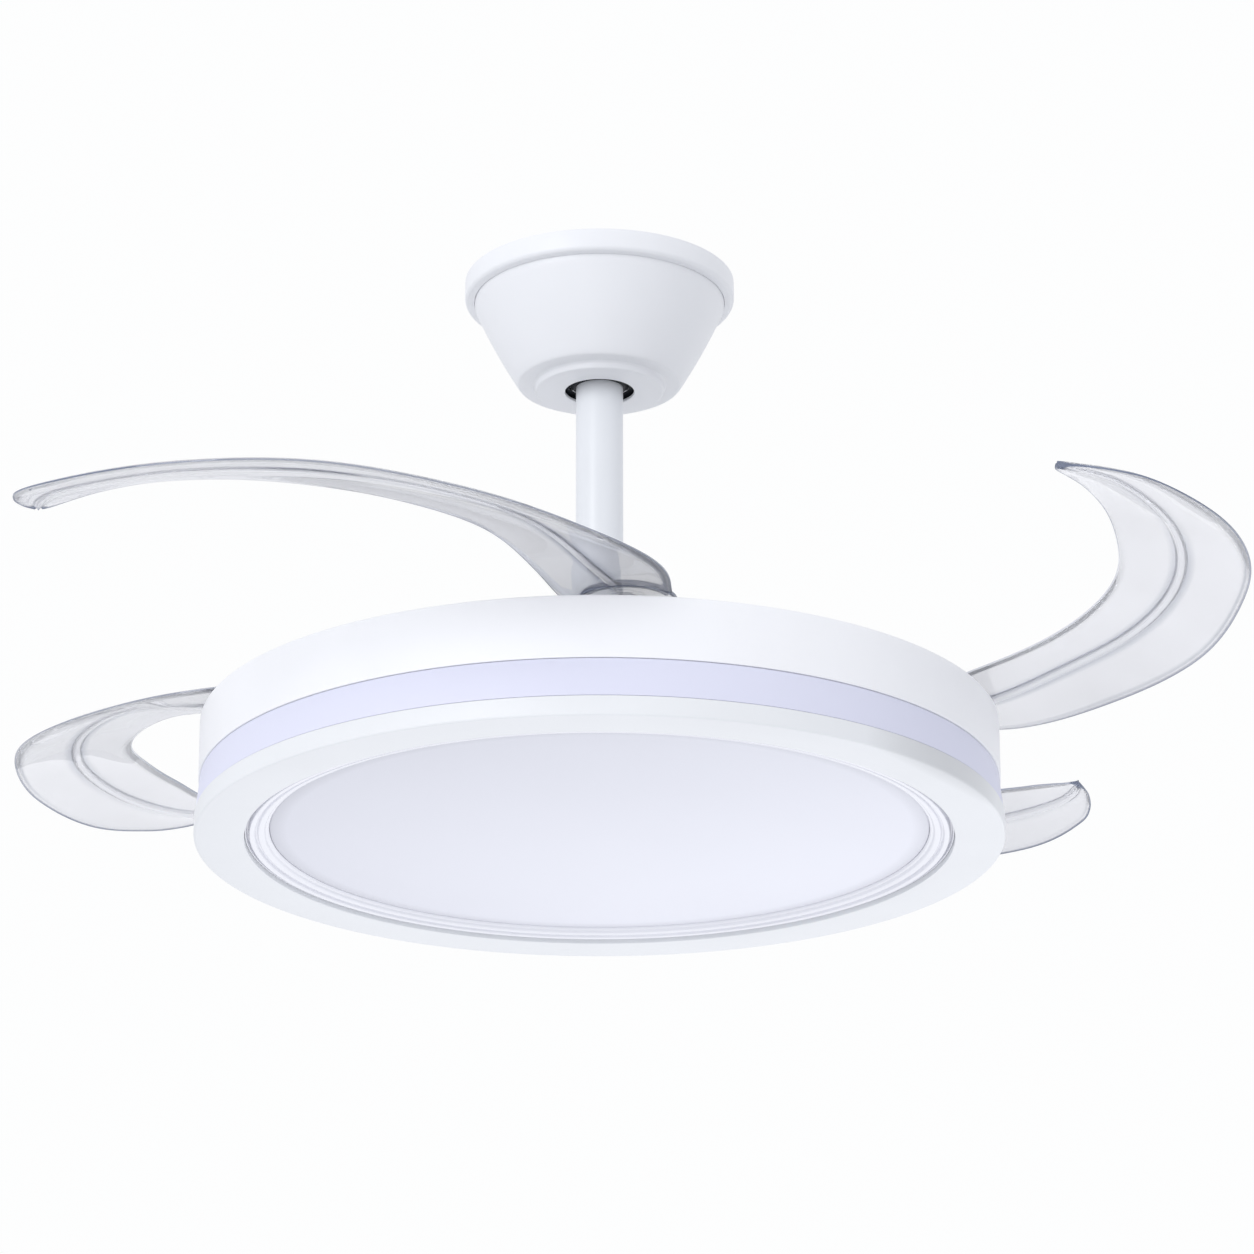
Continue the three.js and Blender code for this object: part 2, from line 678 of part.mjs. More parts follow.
function reflectorPan() {
  const rim = innerWall + 2 * drum.wall + 4;
  const shoulder = innerWall - pan.flare;
  return turned([
    [0, pan.height],
    [shoulder, pan.height],
    [innerWall - 2, panFoot],
    [rim, panFoot],
    [rim, panFoot + pan.sheet],
    [innerWall - 1, panFoot + pan.sheet],
    [shoulder + 1, pan.height + pan.sheet],
    [0, pan.height + pan.sheet],
  ], drumSegments);
}

function lampTray() {
  const bore = shaft.radius + gap;
  const rim = bandRadius - drum.lipWidth + drum.wall + 8;
  const { height, sheet, dishDepth } = tray;
  const outside = standoff.circle + 20;
  const path = [[bore, trayFloor], [outside, trayFloor], [outside + dishDepth, height], [rim, height]];
  const upper = path.map(([r, z]) => [r, z + sheet]).reverse();
  return turned([...path, ...upper], drumSegments);
}

// Aluminium board with rings of small emitters on its lower face.
function ledBoard() {
  const top = pan.height - gap;
  const bottom = top - board.thickness;
  const disc = upright(board.radius, board.thickness, 0, 0, bottom, 20);
  const emitters = [];
  board.ledRows.forEach((radius, row) => {
    for (let i = 0; i < board.ledCount; i += 1) {
      const turn = (i + row / 2) * 2 * Math.PI / board.ledCount;
      const chip = slab(board.ledSize, board.ledSize, 2 * board.ledHeight, radius, 0,
        bottom - board.ledHeight);
      emitters.push(chip.rotateZ(turn));
    }
  });
  return join(disc, ...emitters);
}

const panTop = pan.height + pan.sheet + gap;
place(hanging, 'lamp_tray', lampTray(), whitePaint());
place(hanging, 'shaft_nut', cut(upright(nut.radius, nut.height, 0, 0, trayFloor - gap - nut.height, 6),
  upright(shaft.radius + gap, 3 * nut.height, 0, 0, trayFloor - 2 * nut.height, 16)), steel());
place(hanging, 'top_band', topBand(), whitePlastic());
place(hanging, 'side_diffuser', sideDiffuser(), lilacAcrylic());
place(hanging, 'lower_ring', lowerRing(), whitePlastic());
place(hanging, 'trim_ring', trimRing(), whitePlastic());
place(hanging, 'lens', lensDisc(), lilacAcrylic());
place(hanging, 'reflector_pan', reflectorPan(), whitePaint());
place(hanging, 'led_board', ledBoard(), aluminium());
place(hanging, 'led_driver', slab(driver.length, driver.width, driver.height, driver.offset, 0, panTop),
  whitePlastic());
for (let i = 0; i < standoff.count; i += 1) {
  const turn = (i + 0.5) * 2 * Math.PI / standoff.count;
  const post = upright(standoff.radius, trayFloor - gap - panTop, standoff.circle, 0, panTop, 6);
  place(hanging, `standoff_${i + 1}`, post.rotateZ(turn), steel());
}

// ---------------------------------------------------------------- gearing that swings the blades together

const pitchRadius = gear.module * gear.bladeTeeth / 2;
const ringTeeth = Math.round(2 * (pivotRadius - pitchRadius) / gear.module);
const ringPitchRadius = pivotRadius - pitchRadius;
const ringTurn = foldTurn * pitchRadius / ringPitchRadius;
const ringInner = ringPitchRadius - syncRing.width;
const guideRadius = ringPitchRadius - syncRing.guideInset;
const gearBottom = plateTop + gear.lift;
const springBottom = gearBottom + gear.thickness + gap + spring.wire;
const springTop = springBottom + spring.turns * spring.pitch;

// Half the angle of a tooth at a radius, on an involute flank with a 20 degree pressure angle.
function toothHalfAngle(teeth, pitch, radius) {
  const pressure = 20 * degrees;
  const involute = (angle) => Math.tan(angle) - angle;
  const base = pitch * Math.cos(pressure);
  const here = radius > base ? Math.acos(base / radius) : 0;
  return Math.PI / (2 * teeth) - gear.backlash / (2 * pitch) + involute(pressure) - involute(here);
}

// Points of one tooth, from its root on the low side round to its root on the high side.
function toothPoints(teeth, pitch, centre) {
  const root = pitch - 1.25 * gear.module;
  const tip = pitch + 0.8 * gear.module;
  const rootHalf = toothHalfAngle(teeth, pitch, root);
  const tipHalf = toothHalfAngle(teeth, pitch, tip);
  return [[root, -rootHalf], [tip, -tipHalf], [tip, tipHalf], [root, rootHalf]].map(([radius, offset]) => {
    const angle = centre + offset;
    return new THREE.Vector2(radius * Math.cos(angle), radius * Math.sin(angle));
  });
}

// The blade's own toothed sector. Its arc centre lies along -X of the blade frame, and the teeth
// face the fan's axis in every position from run to folded.
function bladeGear() {
  const pitchAngle = 2 * Math.PI / gear.bladeTeeth;
  const axisDirection = Math.PI - foldTurn * degrees;
  const first = -2;
  const last = Math.ceil((foldTurn * degrees + 0.2) / pitchAngle);
  const points = [];
  for (let i = first; i <= last; i += 1) {
    points.push(...toothPoints(gear.bladeTeeth, pitchRadius, axisDirection + (i + 0.5) * pitchAngle));
  }
  const from = axisDirection + (last + 1) * pitchAngle;
  const to = axisDirection + first * pitchAngle + 2 * Math.PI;
  const steps = 7;
  for (let i = 0; i <= steps; i += 1) {
    const angle = from + (to - from) * i / steps;
    points.push(new THREE.Vector2(gear.plainRadius * Math.cos(angle), gear.plainRadius * Math.sin(angle)));
  }
  const wheel = prism(new THREE.Shape(points), gear.thickness, gearBottom);
  const bossTop = bladeRoot + blade.rootThickness / 2;
  const boss = upright(pivot.bossRadius, bossTop - gearBottom + gap, 0, 0, gearBottom - gap, 12);
  const flats = slab(4 * pivot.bossRadius, 2 * pivot.bossFlat, big, 0, 0, -big / 2);
  const bore = upright(pivot.radius + gap, big, 0, 0, -big / 2, 10);
  const peg = upright(springPeg.radius, springTop + gap - gearBottom - 1,
    spring.radius + spring.wire + gap + springPeg.radius, springPeg.along, gearBottom + 1, 6);
  peg.rotateZ((spring.turns * 360 - foldTurn) * degrees);
  return cut(join(wheel, common(boss, flats), peg), bore);
}

// Flat ring with four toothed stretches. It floats on pins in curved slots, so that all the blades
// swing by the same angle.
function syncGear() {
  const pitchAngle = 2 * Math.PI / ringTeeth;
  const root = ringPitchRadius - 1.25 * gear.module;
  const reach = Math.ceil(ringTurn * degrees / pitchAngle) + 1;
  const points = [];
  for (let i = 0; i < bladeCount; i += 1) {
    const contact = pivotAngle(i);
    for (let tooth = -reach; tooth <= 1; tooth += 1) {
      points.push(...toothPoints(ringTeeth, ringPitchRadius, contact + tooth * pitchAngle));
    }
    const from = contact + 2 * pitchAngle;
    const to = contact + 2 * Math.PI / bladeCount - (reach + 1) * pitchAngle;
    const steps = 4;
    for (let step = 0; step <= steps; step += 1) {
      const angle = from + (to - from) * step / steps;
      points.push(new THREE.Vector2(root * Math.cos(angle), root * Math.sin(angle)));
    }
  }
  const shape = new THREE.Shape(points);
  shape.holes.push(new THREE.Path().absarc(0, 0, ringInner, 0, 2 * Math.PI));
  const half = syncRing.guidePin + gap;
  const slots = guideAngles().map((angle) => {
    const slack = 0.3 * degrees;
    const low = angle - ringTurn * degrees - slack;
    const high = angle + slack;
    const path = new THREE.Shape();
    const end = (a) => [guideRadius * Math.cos(a), guideRadius * Math.sin(a)];
    path.absarc(0, 0, guideRadius + half, low, high, false);
    path.absarc(...end(high), half, high, high + Math.PI, false);
    path.absarc(0, 0, guideRadius - half, high, low, true);
    path.absarc(...end(low), half, low + Math.PI, low + 2 * Math.PI, false);
    return prism(path, 4 * gear.thickness, gearBottom - gear.thickness, 2);
  });
  return cut(prism(shape, gear.thickness, gearBottom, 12), ...slots);
}

// Where pivot i stands, as an angle about the fan's axis.
function pivotAngle(i) {
  return -Math.PI / 2 + pivotLead * degrees + i * 2 * Math.PI / bladeCount;
}

function guideAngles() {
  return [0, 1, 2, 3].map((i) => pivotAngle(i) + 38 * degrees);
}

// Stamped plate bolted to the motor's case. It carries the pivots, the ring's guide pins and the
// posts that the return springs pull on.
function bladePlate() {
  const disc = new THREE.Shape().absarc(0, 0, pivotRadius + plate.rim, 0, 2 * Math.PI);
  const steps = 16;
  const hole = (motor.radius + gap) / Math.cos(Math.PI / (2 * steps));
  disc.holes.push(new THREE.Path().absarc(0, 0, hole, 0, 2 * Math.PI));
  const sheet = prism(disc, plate.sheet, plateBottom, steps);
  const windowInner = motor.radius + plate.motorMargin;
  const windowOuter = guideRadius - plate.guideMargin;
  const windows = [0, 1, 2, 3].map((i) => {
    const middle = pivotAngle(i) / degrees + 45;
    const shape = ringSector(windowInner, windowOuter, middle - plate.windowTurn / 2,
      middle + plate.windowTurn / 2);
    return prism(shape, 3 * plate.sheet, plateBottom - plate.sheet, 2);
  });
  const pivotHoles = [0, 1, 2, 3].map((i) => upright(pivot.radius + gap, 3 * plate.sheet, pivotRadius, 0,
    plateBottom - plate.sheet, 10).rotateZ(pivotAngle(i)));
  const guides = guideAngles().map((angle) => {
    const height = gearBottom + gear.thickness + syncRing.height - plateTop + 1;
    return upright(syncRing.guidePin, height, guideRadius, 0, plateTop - 1, 8).rotateZ(angle);
  });
  const guideHeads = guideAngles().map((angle) => {
    const bottom = gearBottom + gear.thickness + gap + 0.2;
    return upright(syncRing.guidePin + 2, syncRing.height, guideRadius, 0, bottom, 8).rotateZ(angle);
  });
  const postHeight = springBottom + 2 * spring.wire - plateTop + 1;
  const postReach = pivotRadius + spring.radius + spring.wire + gap + springPost.radius;
  const posts = [0, 1, 2, 3].map((i) => upright(springPost.radius, postHeight, postReach,
    -springPost.along, plateTop - 1, 6).rotateZ(pivotAngle(i)));
  return cut(join(sheet, ...guides, ...guideHeads, ...posts), ...windows, ...pivotHoles);
}


// Wound wire round the boss, with one leg out to the plate's post and one against the gear's peg.
function returnSpring() {
  const { radius, wire, turns, pitch, fixedLeg, freeLeg, steps, sides } = spring;
  const count = Math.round(turns * steps);
  const points = [];
  const tail = (angle, z, leg) => new THREE.Vector3(
    radius * Math.cos(angle) - leg * Math.sin(angle),
    radius * Math.sin(angle) + leg * Math.cos(angle),
    z,
  );
  points.push(tail(0, springBottom, -fixedLeg));
  for (let i = 0; i <= count; i += 1) {
    const angle = i * 2 * Math.PI / steps;
    points.push(new THREE.Vector3(radius * Math.cos(angle), radius * Math.sin(angle),
      springBottom + pitch * i / steps));
  }
  points.push(tail(count * 2 * Math.PI / steps, springTop, freeLeg));
  console.log(`return spring: least gap between its turns ${leastGap(points, wire, steps).toFixed(3)} mm`);
  return wireAlong(points, wire, sides);
}

// Least air between stretches of a wire's path that are more than half a turn apart, measured on
// points set close together along it.
function leastGap(points, radius, steps) {
  const fine = [];
  for (let i = 0; i + 1 < points.length; i += 1) {
    const shares = [0, 0.2, 0.4, 0.6, 0.8];
    shares.forEach((share) => fine.push([i + share, points[i].clone().lerp(points[i + 1], share)]));
  }
  fine.push([points.length - 1, points.at(-1)]);
  let least = Infinity;
  for (const [at, point] of fine) {
    for (const [other, away] of fine) {
      if (other - at > steps / 2) least = Math.min(least, point.distanceTo(away));
    }
  }
  return least - 2 * radius;
}

// A closed wire of a few sides through points, one ring of corners at each.
function wireAlong(points, radius, sides) {
  const up = new THREE.Vector3(0, 0, 1);
  const positions = [];
  points.forEach((point, i) => {
    const before = points[Math.max(i - 1, 0)];
    const after = points[Math.min(i + 1, points.length - 1)];
    const along = after.clone().sub(before).normalize();
    const side = up.clone().cross(along).normalize();
    const rise = along.clone().cross(side);
    for (let k = 0; k < sides; k += 1) {
      const angle = 2 * Math.PI * k / sides;
      const corner = point.clone().addScaledVector(side, radius * Math.cos(angle));
      corner.addScaledVector(rise, radius * Math.sin(angle));
      positions.push(corner.x, corner.y, corner.z);
    }
  });
  const index = [];
  for (let i = 0; i + 1 < points.length; i += 1) {
    for (let k = 0; k < sides; k += 1) {
      const next = (k + 1) % sides;
      const [a, b, c, d] = [i * sides + k, i * sides + next, (i + 1) * sides + next, (i + 1) * sides + k];
      index.push(a, b, c, a, c, d);
    }
  }
  const last = (points.length - 1) * sides;
  for (let k = 1; k + 1 < sides; k += 1) {
    index.push(0, k + 1, k, last, last + k, last + k + 1);
  }
  const geometry = new THREE.BufferGeometry();
  geometry.setAttribute('position', new THREE.Float32BufferAttribute(positions, 3));
  geometry.setIndex(index);
  return geometry;
}

function pivotPin() {
  const head = plateBottom - gap;
  const top = bladeRoot + blade.rootThickness / 2 + pivot.above;
  const neck = pivot.radius - clip.groove;
  return turned([
    [0, head - pivot.headHeight],
    [pivot.headRadius, head - pivot.headHeight],
    [pivot.headRadius, head],
    [pivot.radius, head],
    [pivot.radius, clipBottom - gap],
    [neck, clipBottom - gap],
    [neck, clipBottom + clip.thickness + gap],
    [pivot.radius, clipBottom + clip.thickness + gap],
    [pivot.radius, top],
    [0, top],
  ], 10);
}

const clipBottom = bladeRoot + blade.rootThickness / 2 + 2 * gap;

// Spring steel clip that snaps into the pin's groove over the blade's root.
function bladeClip() {
  const washer = new THREE.Shape().absarc(0, 0, clip.radius, 0, 2 * Math.PI);
  washer.holes.push(new THREE.Path().absarc(0, 0, pivot.radius - clip.groove + gap, 0, 2 * Math.PI));
  const body = prism(washer, clip.thickness, clipBottom, 6);
  const mouth = slab(clip.radius * 2, clip.mouth, 6 * clip.thickness, clip.radius, 0, clipBottom - 3);
  return cut(body, mouth);
}

// ---------------------------------------------------------------- blades

// Value of an edge list at an angle, as a smooth curve through its points.
function edgeCurve(points) {
  const curve = new THREE.SplineCurve(points.map(([turn, radius]) => new THREE.Vector2(turn, radius)));
  const rise = new THREE.SplineCurve(points.map(([turn, , height]) => new THREE.Vector2(turn, height)));
  const sample = (spline, turn) => {
    let low = 0;
    let high = 1;
    for (let i = 0; i < 30; i += 1) {
      const middle = (low + high) / 2;
      if (spline.getPoint(middle).x < turn) low = middle;
      else high = middle;
    }
    return spline.getPoint((low + high) / 2).y;
  };
  return (turn) => ({ radius: pivotRadius + sample(curve, turn), height: bladeRoot + sample(rise, turn) });
}

// The moulded sheet, lofted from the root to the tip. Seen from above it is a crescent about a
// centre at (-pivotRadius, 0), which lands on the fan's axis when the blade folds.
function bladeSheet() {
  const outer = edgeCurve(bladeOuterEdge);
  const rib = edgeCurve(bladeRib);
  const inner = edgeCurve(bladeInnerEdge);
  const start = bladeOuterEdge[0][0];
  const end = bladeOuterEdge.at(-1)[0];
  const positions = [];
  const rowCount = 7;
  for (let i = 0; i <= blade.stations; i += 1) {
    const share = i / blade.stations;
    const turn = start + (end - start) * (1 - (1 - share) ** 1.35);
    const [a, b, c] = [inner(turn), rib(turn), outer(turn)];
    const mix = (from, to, t) => ({
      radius: from.radius + t * (to.radius - from.radius),
      height: from.height + t * (to.height - from.height),
    });
    const ribHalf = Math.min(blade.ribWidth / 2, (c.radius - b.radius) / 2, (b.radius - a.radius) / 2);
    const ribShare = [ribHalf / (b.radius - a.radius), ribHalf / (c.radius - b.radius)];
    const fade = Math.min(1, Math.max(0, (turn - 4) / 12));
    const middle = blade.thickness / 2;
    const row = [
      [a, 0, blade.edge / 2, 0],
      [mix(a, b, 0.5), blade.camber * fade, middle, 0],
      [mix(b, a, ribShare[0]), 0, middle, 0],
      [b, 0, middle, blade.ribHeight * fade],
      [mix(b, c, ribShare[1]), 0, middle, 0],
      [mix(b, c, 0.5), blade.camber * fade, middle, 0],
      [c, 0, blade.edge / 2, 0],
    ];
    const angle = -turn * degrees;
    const push = ([point, lift, half, rise], side) => {
      positions.push(
        -pivotRadius + point.radius * Math.cos(angle),
        point.radius * Math.sin(angle),
        point.height + lift + side * half + (side > 0 ? rise : 0),
      );
    };
    row.forEach((point) => push(point, -1));
    row.forEach((point) => push(point, 1));
  }
  const index = [];
  const quad = (a, b, c, d) => index.push(a, b, c, a, c, d);
  const aroundCount = 2 * rowCount;
  const around = [...Array(rowCount).keys(), ...[...Array(rowCount).keys()].map((k) => aroundCount - 1 - k)];
  for (let i = 0; i < blade.stations; i += 1) {
    const base = i * aroundCount;
    around.forEach((k, n) => {
      const next = around[(n + 1) % aroundCount];
      quad(base + k, base + next, base + aroundCount + next, base + aroundCount + k);
    });
  }
  const lastBase = blade.stations * aroundCount;
  for (let k = 0; k + 1 < rowCount; k += 1) {
    quad(k, k + rowCount, k + rowCount + 1, k + 1);
    quad(lastBase + k, lastBase + k + 1, lastBase + k + rowCount + 1, lastBase + k + rowCount);
  }
  const geometry = new THREE.BufferGeometry();
  geometry.setAttribute('position', new THREE.Float32BufferAttribute(positions, 3));
  geometry.setIndex(index);
  return geometry;
}

// Sheet, round root and the raised collar round the pivot, as one moulding.
function bladeMoulding() {
  const low = bladeRoot - blade.rootThickness / 2;
  const top = bladeRoot + blade.rootThickness / 2;
  const root = upright(blade.rootRadius, blade.rootThickness, 0, 0, low, 20);
  const collarInner = blade.collarRadius - blade.collarWall;
  const collar = turned([
    [collarInner, low + 0.5], [blade.collarRadius, low + 0.5],
    [blade.collarRadius, top + blade.collarHeight], [collarInner, top + blade.collarHeight],
  ], 20);
  const gate = slab(blade.collarRadius, 14, 2 * blade.collarHeight, blade.collarRadius, 0, top);
  const hole = common(
    upright(pivot.bossRadius + gap, big, 0, 0, -big / 2, 12),
    slab(big, 2 * (pivot.bossFlat + gap), big, 0, 0, -big / 2),
  );
  const inside = upright(collarInner, big, 0, 0, top, 20);
  const sheet = cut(bladeSheet(), inside);
  return cut(join(sheet, root, cut(collar, gate)), hole);
}

const bladeShape = bladeMoulding();
const gearShape = bladeGear();
const springShape = returnSpring();
const pinShape = pivotPin();
const clipShape = bladeClip();

place(hanging, 'blade_plate', bladePlate(), steel());
place(hanging, 'sync_gear', syncGear(), whiteNylon());
for (let i = 0; i < bladeCount; i += 1) {
  const angle = pivotAngle(i);
  const at = new THREE.Group();
  at.position.set(pivotRadius * Math.cos(angle), pivotRadius * Math.sin(angle), 0);
  hanging.add(at);
  const swung = new THREE.Group();      // turned with the blade, its -X towards the arc's centre
  swung.rotation.z = angle + foldTurn * degrees;
  at.add(swung);
  const fixed = new THREE.Group();      // turned with the plate, its +X straight out
  fixed.rotation.z = angle;
  at.add(fixed);
  place(swung, `blade_${i + 1}`, bladeShape, clearPlastic());
  place(swung, `blade_gear_${i + 1}`, gearShape, whiteNylon());
  place(fixed, `return_spring_${i + 1}`, springShape, darkSteel());
  place(fixed, `pivot_pin_${i + 1}`, pinShape, steel());
  place(fixed, `blade_clip_${i + 1}`, clipShape, darkSteel());
}

export default fan;
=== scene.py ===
import json
import math

import bmesh
import bpy
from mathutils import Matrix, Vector


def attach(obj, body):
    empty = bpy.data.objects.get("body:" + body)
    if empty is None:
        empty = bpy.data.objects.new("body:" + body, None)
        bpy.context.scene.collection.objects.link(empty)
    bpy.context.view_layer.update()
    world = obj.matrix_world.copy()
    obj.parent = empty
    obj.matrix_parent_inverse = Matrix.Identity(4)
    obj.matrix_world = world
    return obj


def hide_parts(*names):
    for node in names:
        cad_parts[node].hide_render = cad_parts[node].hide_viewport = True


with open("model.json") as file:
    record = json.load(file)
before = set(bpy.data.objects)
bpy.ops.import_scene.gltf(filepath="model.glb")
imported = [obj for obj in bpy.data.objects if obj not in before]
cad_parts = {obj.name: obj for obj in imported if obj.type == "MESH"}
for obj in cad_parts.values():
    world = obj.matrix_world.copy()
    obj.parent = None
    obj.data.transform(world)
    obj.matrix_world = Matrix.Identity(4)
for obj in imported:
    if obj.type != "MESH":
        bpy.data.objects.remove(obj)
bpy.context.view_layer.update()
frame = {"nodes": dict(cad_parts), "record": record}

# Camera: below and in front of the fan, looking up at it with a long lens,
# as fitted to the ellipses of the lamp body and the outlines of the blades.
camera = bpy.data.objects.new("camera", bpy.data.cameras.new("camera"))
camera.data.sensor_width = 36
camera.data.lens = 141.4
camera.location = (0, -2.906, -1.281)
camera.rotation_euler = (math.radians(109.70), 0, 0)
camera.data.shift_x = 0.0219
camera.data.shift_y = 0.0067
camera.data.clip_end = 60
bpy.context.collection.objects.link(camera)
bpy.context.scene.camera = camera

bpy.context.scene.view_settings.view_transform = "Standard"

# ---- helpers for meshes
# Profiles are in millimetres, with heights above the lamp body's underside; objects are in metres.
UNDERSIDE = -0.378


def up(h):
    return UNDERSIDE + h / 1000


def new_object(name, bm, smooth_angle=35):
    for face in bm.faces:
        face.smooth = True
    bmesh.ops.recalc_face_normals(bm, faces=bm.faces[:])
    if bm.calc_volume(signed=True) < 0:
        bmesh.ops.reverse_faces(bm, faces=bm.faces[:])
    mesh = bpy.data.meshes.new(name)
    bm.to_mesh(mesh)
    bm.free()
    mesh.set_sharp_from_angle(angle=math.radians(smooth_angle))
    obj = bpy.data.objects.new(name, mesh)
    bpy.context.collection.objects.link(obj)
    return obj


FILLET_STEPS = 5


def fillet(corners):
    """A closed outline from (radius, height, fillet) corners, in millimetres."""
    points = []
    for i, (x, y, reach) in enumerate(corners):
        here = Vector((x, y))
        before = Vector(corners[i - 1][:2]) - here
        after = Vector(corners[(i + 1) % len(corners)][:2]) - here
        reach = min(reach, before.length / 2, after.length / 2)
        if reach <= 0:
            points.append(here)
            continue
        start = here + before.normalized() * reach
        end = here + after.normalized() * reach
        for k in range(FILLET_STEPS + 1):
            t = k / FILLET_STEPS
            points.append(start * (1 - t) ** 2 + here * 2 * t * (1 - t) + end * t * t)
    return points


def turned(name, corners, segments=160):
    """A solid of revolution about the rod's axis."""
    outline = fillet(corners)
    bm = bmesh.new()
    rings = []
    for p in outline:
        if p.x < 1e-6:
            rings.append([bm.verts.new((0, 0, up(p.y)))])
            continue
        ring = []
        for k in range(segments):
            a = 2 * math.pi * k / segments
            x, y = p.x * math.cos(a) / 1000, p.x * math.sin(a) / 1000
            ring.append(bm.verts.new((x, y, up(p.y))))
        rings.append(ring)
    for i, ring in enumerate(rings):
        after = rings[(i + 1) % len(rings)]
        for k in range(segments):
            n = (k + 1) % segments
            if len(ring) == 1 and len(after) == 1:
                break
            if len(ring) == 1:
                bm.faces.new((ring[0], after[n], after[k]))
            elif len(after) == 1:
                bm.faces.new((ring[k], ring[n], after[0]))
            else:
                bm.faces.new((ring[k], ring[n], after[n], after[k]))
    return new_object(name, bm)


def dress(obj, material, body, slot, *nodes):
    """Give a piece its finish and its body, and the CAD nodes that it stands in for. The slot
    argument is not used.
    """
    obj.data.materials.clear()
    obj.data.materials.append(material)
    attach(obj, body)
    if nodes:
        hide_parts(*nodes)
    return obj


# ---- materials
# Each has its own fine grain and a slight unevenness of colour and of gloss.
def node(tree, kind, **inputs):
    made = tree.nodes.new(kind)
    for key, value in inputs.items():
        made.inputs[key.replace("_", " ")].default_value = value
    return made


def surface(name, color, rough, metal=0.0, shade=0.03, grain=900, bump=0.02, patch=9):
    """Colour drifts softly at `patch` cycles a metre; gloss and relief follow a fine grain."""
    material = bpy.data.materials.new(name)
    material.use_nodes = True
    tree = material.node_tree
    shader = tree.nodes["Principled BSDF"]
    shader.inputs["Metallic"].default_value = metal
    place = tree.nodes.new("ShaderNodeTexCoord")
    drift = node(tree, "ShaderNodeTexNoise", Scale=patch, Detail=3.0, Roughness=0.5)
    fine = node(tree, "ShaderNodeTexNoise", Scale=grain, Detail=2.0, Roughness=0.6)
    tree.links.new(place.outputs["Object"], drift.inputs["Vector"])
    tree.links.new(place.outputs["Object"], fine.inputs["Vector"])
    ramp = tree.nodes.new("ShaderNodeValToRGB")
    ramp.color_ramp.elements[0].position = 0.3
    ramp.color_ramp.elements[1].position = 0.7
    ramp.color_ramp.elements[0].color = (*[c * (1 - shade) for c in color], 1)
    ramp.color_ramp.elements[1].color = (*[min(1, c * (1 + shade / 3)) for c in color], 1)
    tree.links.new(drift.outputs["Fac"], ramp.inputs["Fac"])
    tree.links.new(ramp.outputs["Color"], shader.inputs["Base Color"])
    gloss = node(tree, "ShaderNodeMapRange")
    gloss.inputs["To Min"].default_value = max(0.02, rough * 0.85)
    gloss.inputs["To Max"].default_value = min(1, rough * 1.15)
    tree.links.new(fine.outputs["Fac"], gloss.inputs["Value"])
    tree.links.new(gloss.outputs["Result"], shader.inputs["Roughness"])
    relief = node(tree, "ShaderNodeBump", Strength=bump, Distance=0.0004)
    tree.links.new(fine.outputs["Fac"], relief.inputs["Height"])
    tree.links.new(relief.outputs["Normal"], shader.inputs["Normal"])
    return material


white_paint = surface("white_paint", (0.89, 0.90, 0.925), 0.38, grain=1400, bump=0.03)
rod_paint = surface("rod_paint", (0.84, 0.86, 0.89), 0.30, grain=1400, bump=0.02)
band_plastic = surface("band_plastic", (0.93, 0.935, 0.955), 0.42, grain=1100, bump=0.03)
ring_plastic = surface("ring_plastic", (0.831, 0.846, 0.864), 0.40, grain=1100, bump=0.03)
trim_plastic = surface("trim_plastic", (0.86, 0.865, 0.91), 0.22, grain=1100, bump=0.02)
lens_acrylic = surface("lens_acrylic", (0.785, 0.792, 0.852), 0.5, shade=0.04, grain=700, patch=2)
strip_acrylic = surface("strip_acrylic", (0.755, 0.765, 0.90), 0.45, grain=700, patch=5)
black_rubber = surface("black_rubber", (0.012, 0.015, 0.021), 0.5, shade=0.2, grain=800, bump=0.1)
black_rubber.node_tree.nodes["Principled BSDF"].inputs["Specular IOR Level"].default_value = 0.25
nylon = surface("nylon", (0.80, 0.79, 0.74), 0.5, shade=0.06, grain=500, bump=0.08)
zinc = surface("zinc", (0.62, 0.63, 0.65), 0.34, 1.0, shade=0.12, grain=260, bump=0.08, patch=30)
dark_steel = surface("dark_steel", (0.10, 0.105, 0.12), 0.38, 1.0, shade=0.2, grain=600, bump=0.1)
cast_aluminium = surface("cast_aluminium", (0.68, 0.69, 0.71), 0.42, 1.0,
                         shade=0.1, grain=420, bump=0.2)
copper_wire = surface("copper_wire", (0.55, 0.22, 0.09), 0.3, 1.0, shade=0.3, grain=300, bump=0.6)
ferrite = surface("ferrite", (0.06, 0.06, 0.065), 0.6, shade=0.2, grain=500, bump=0.2)


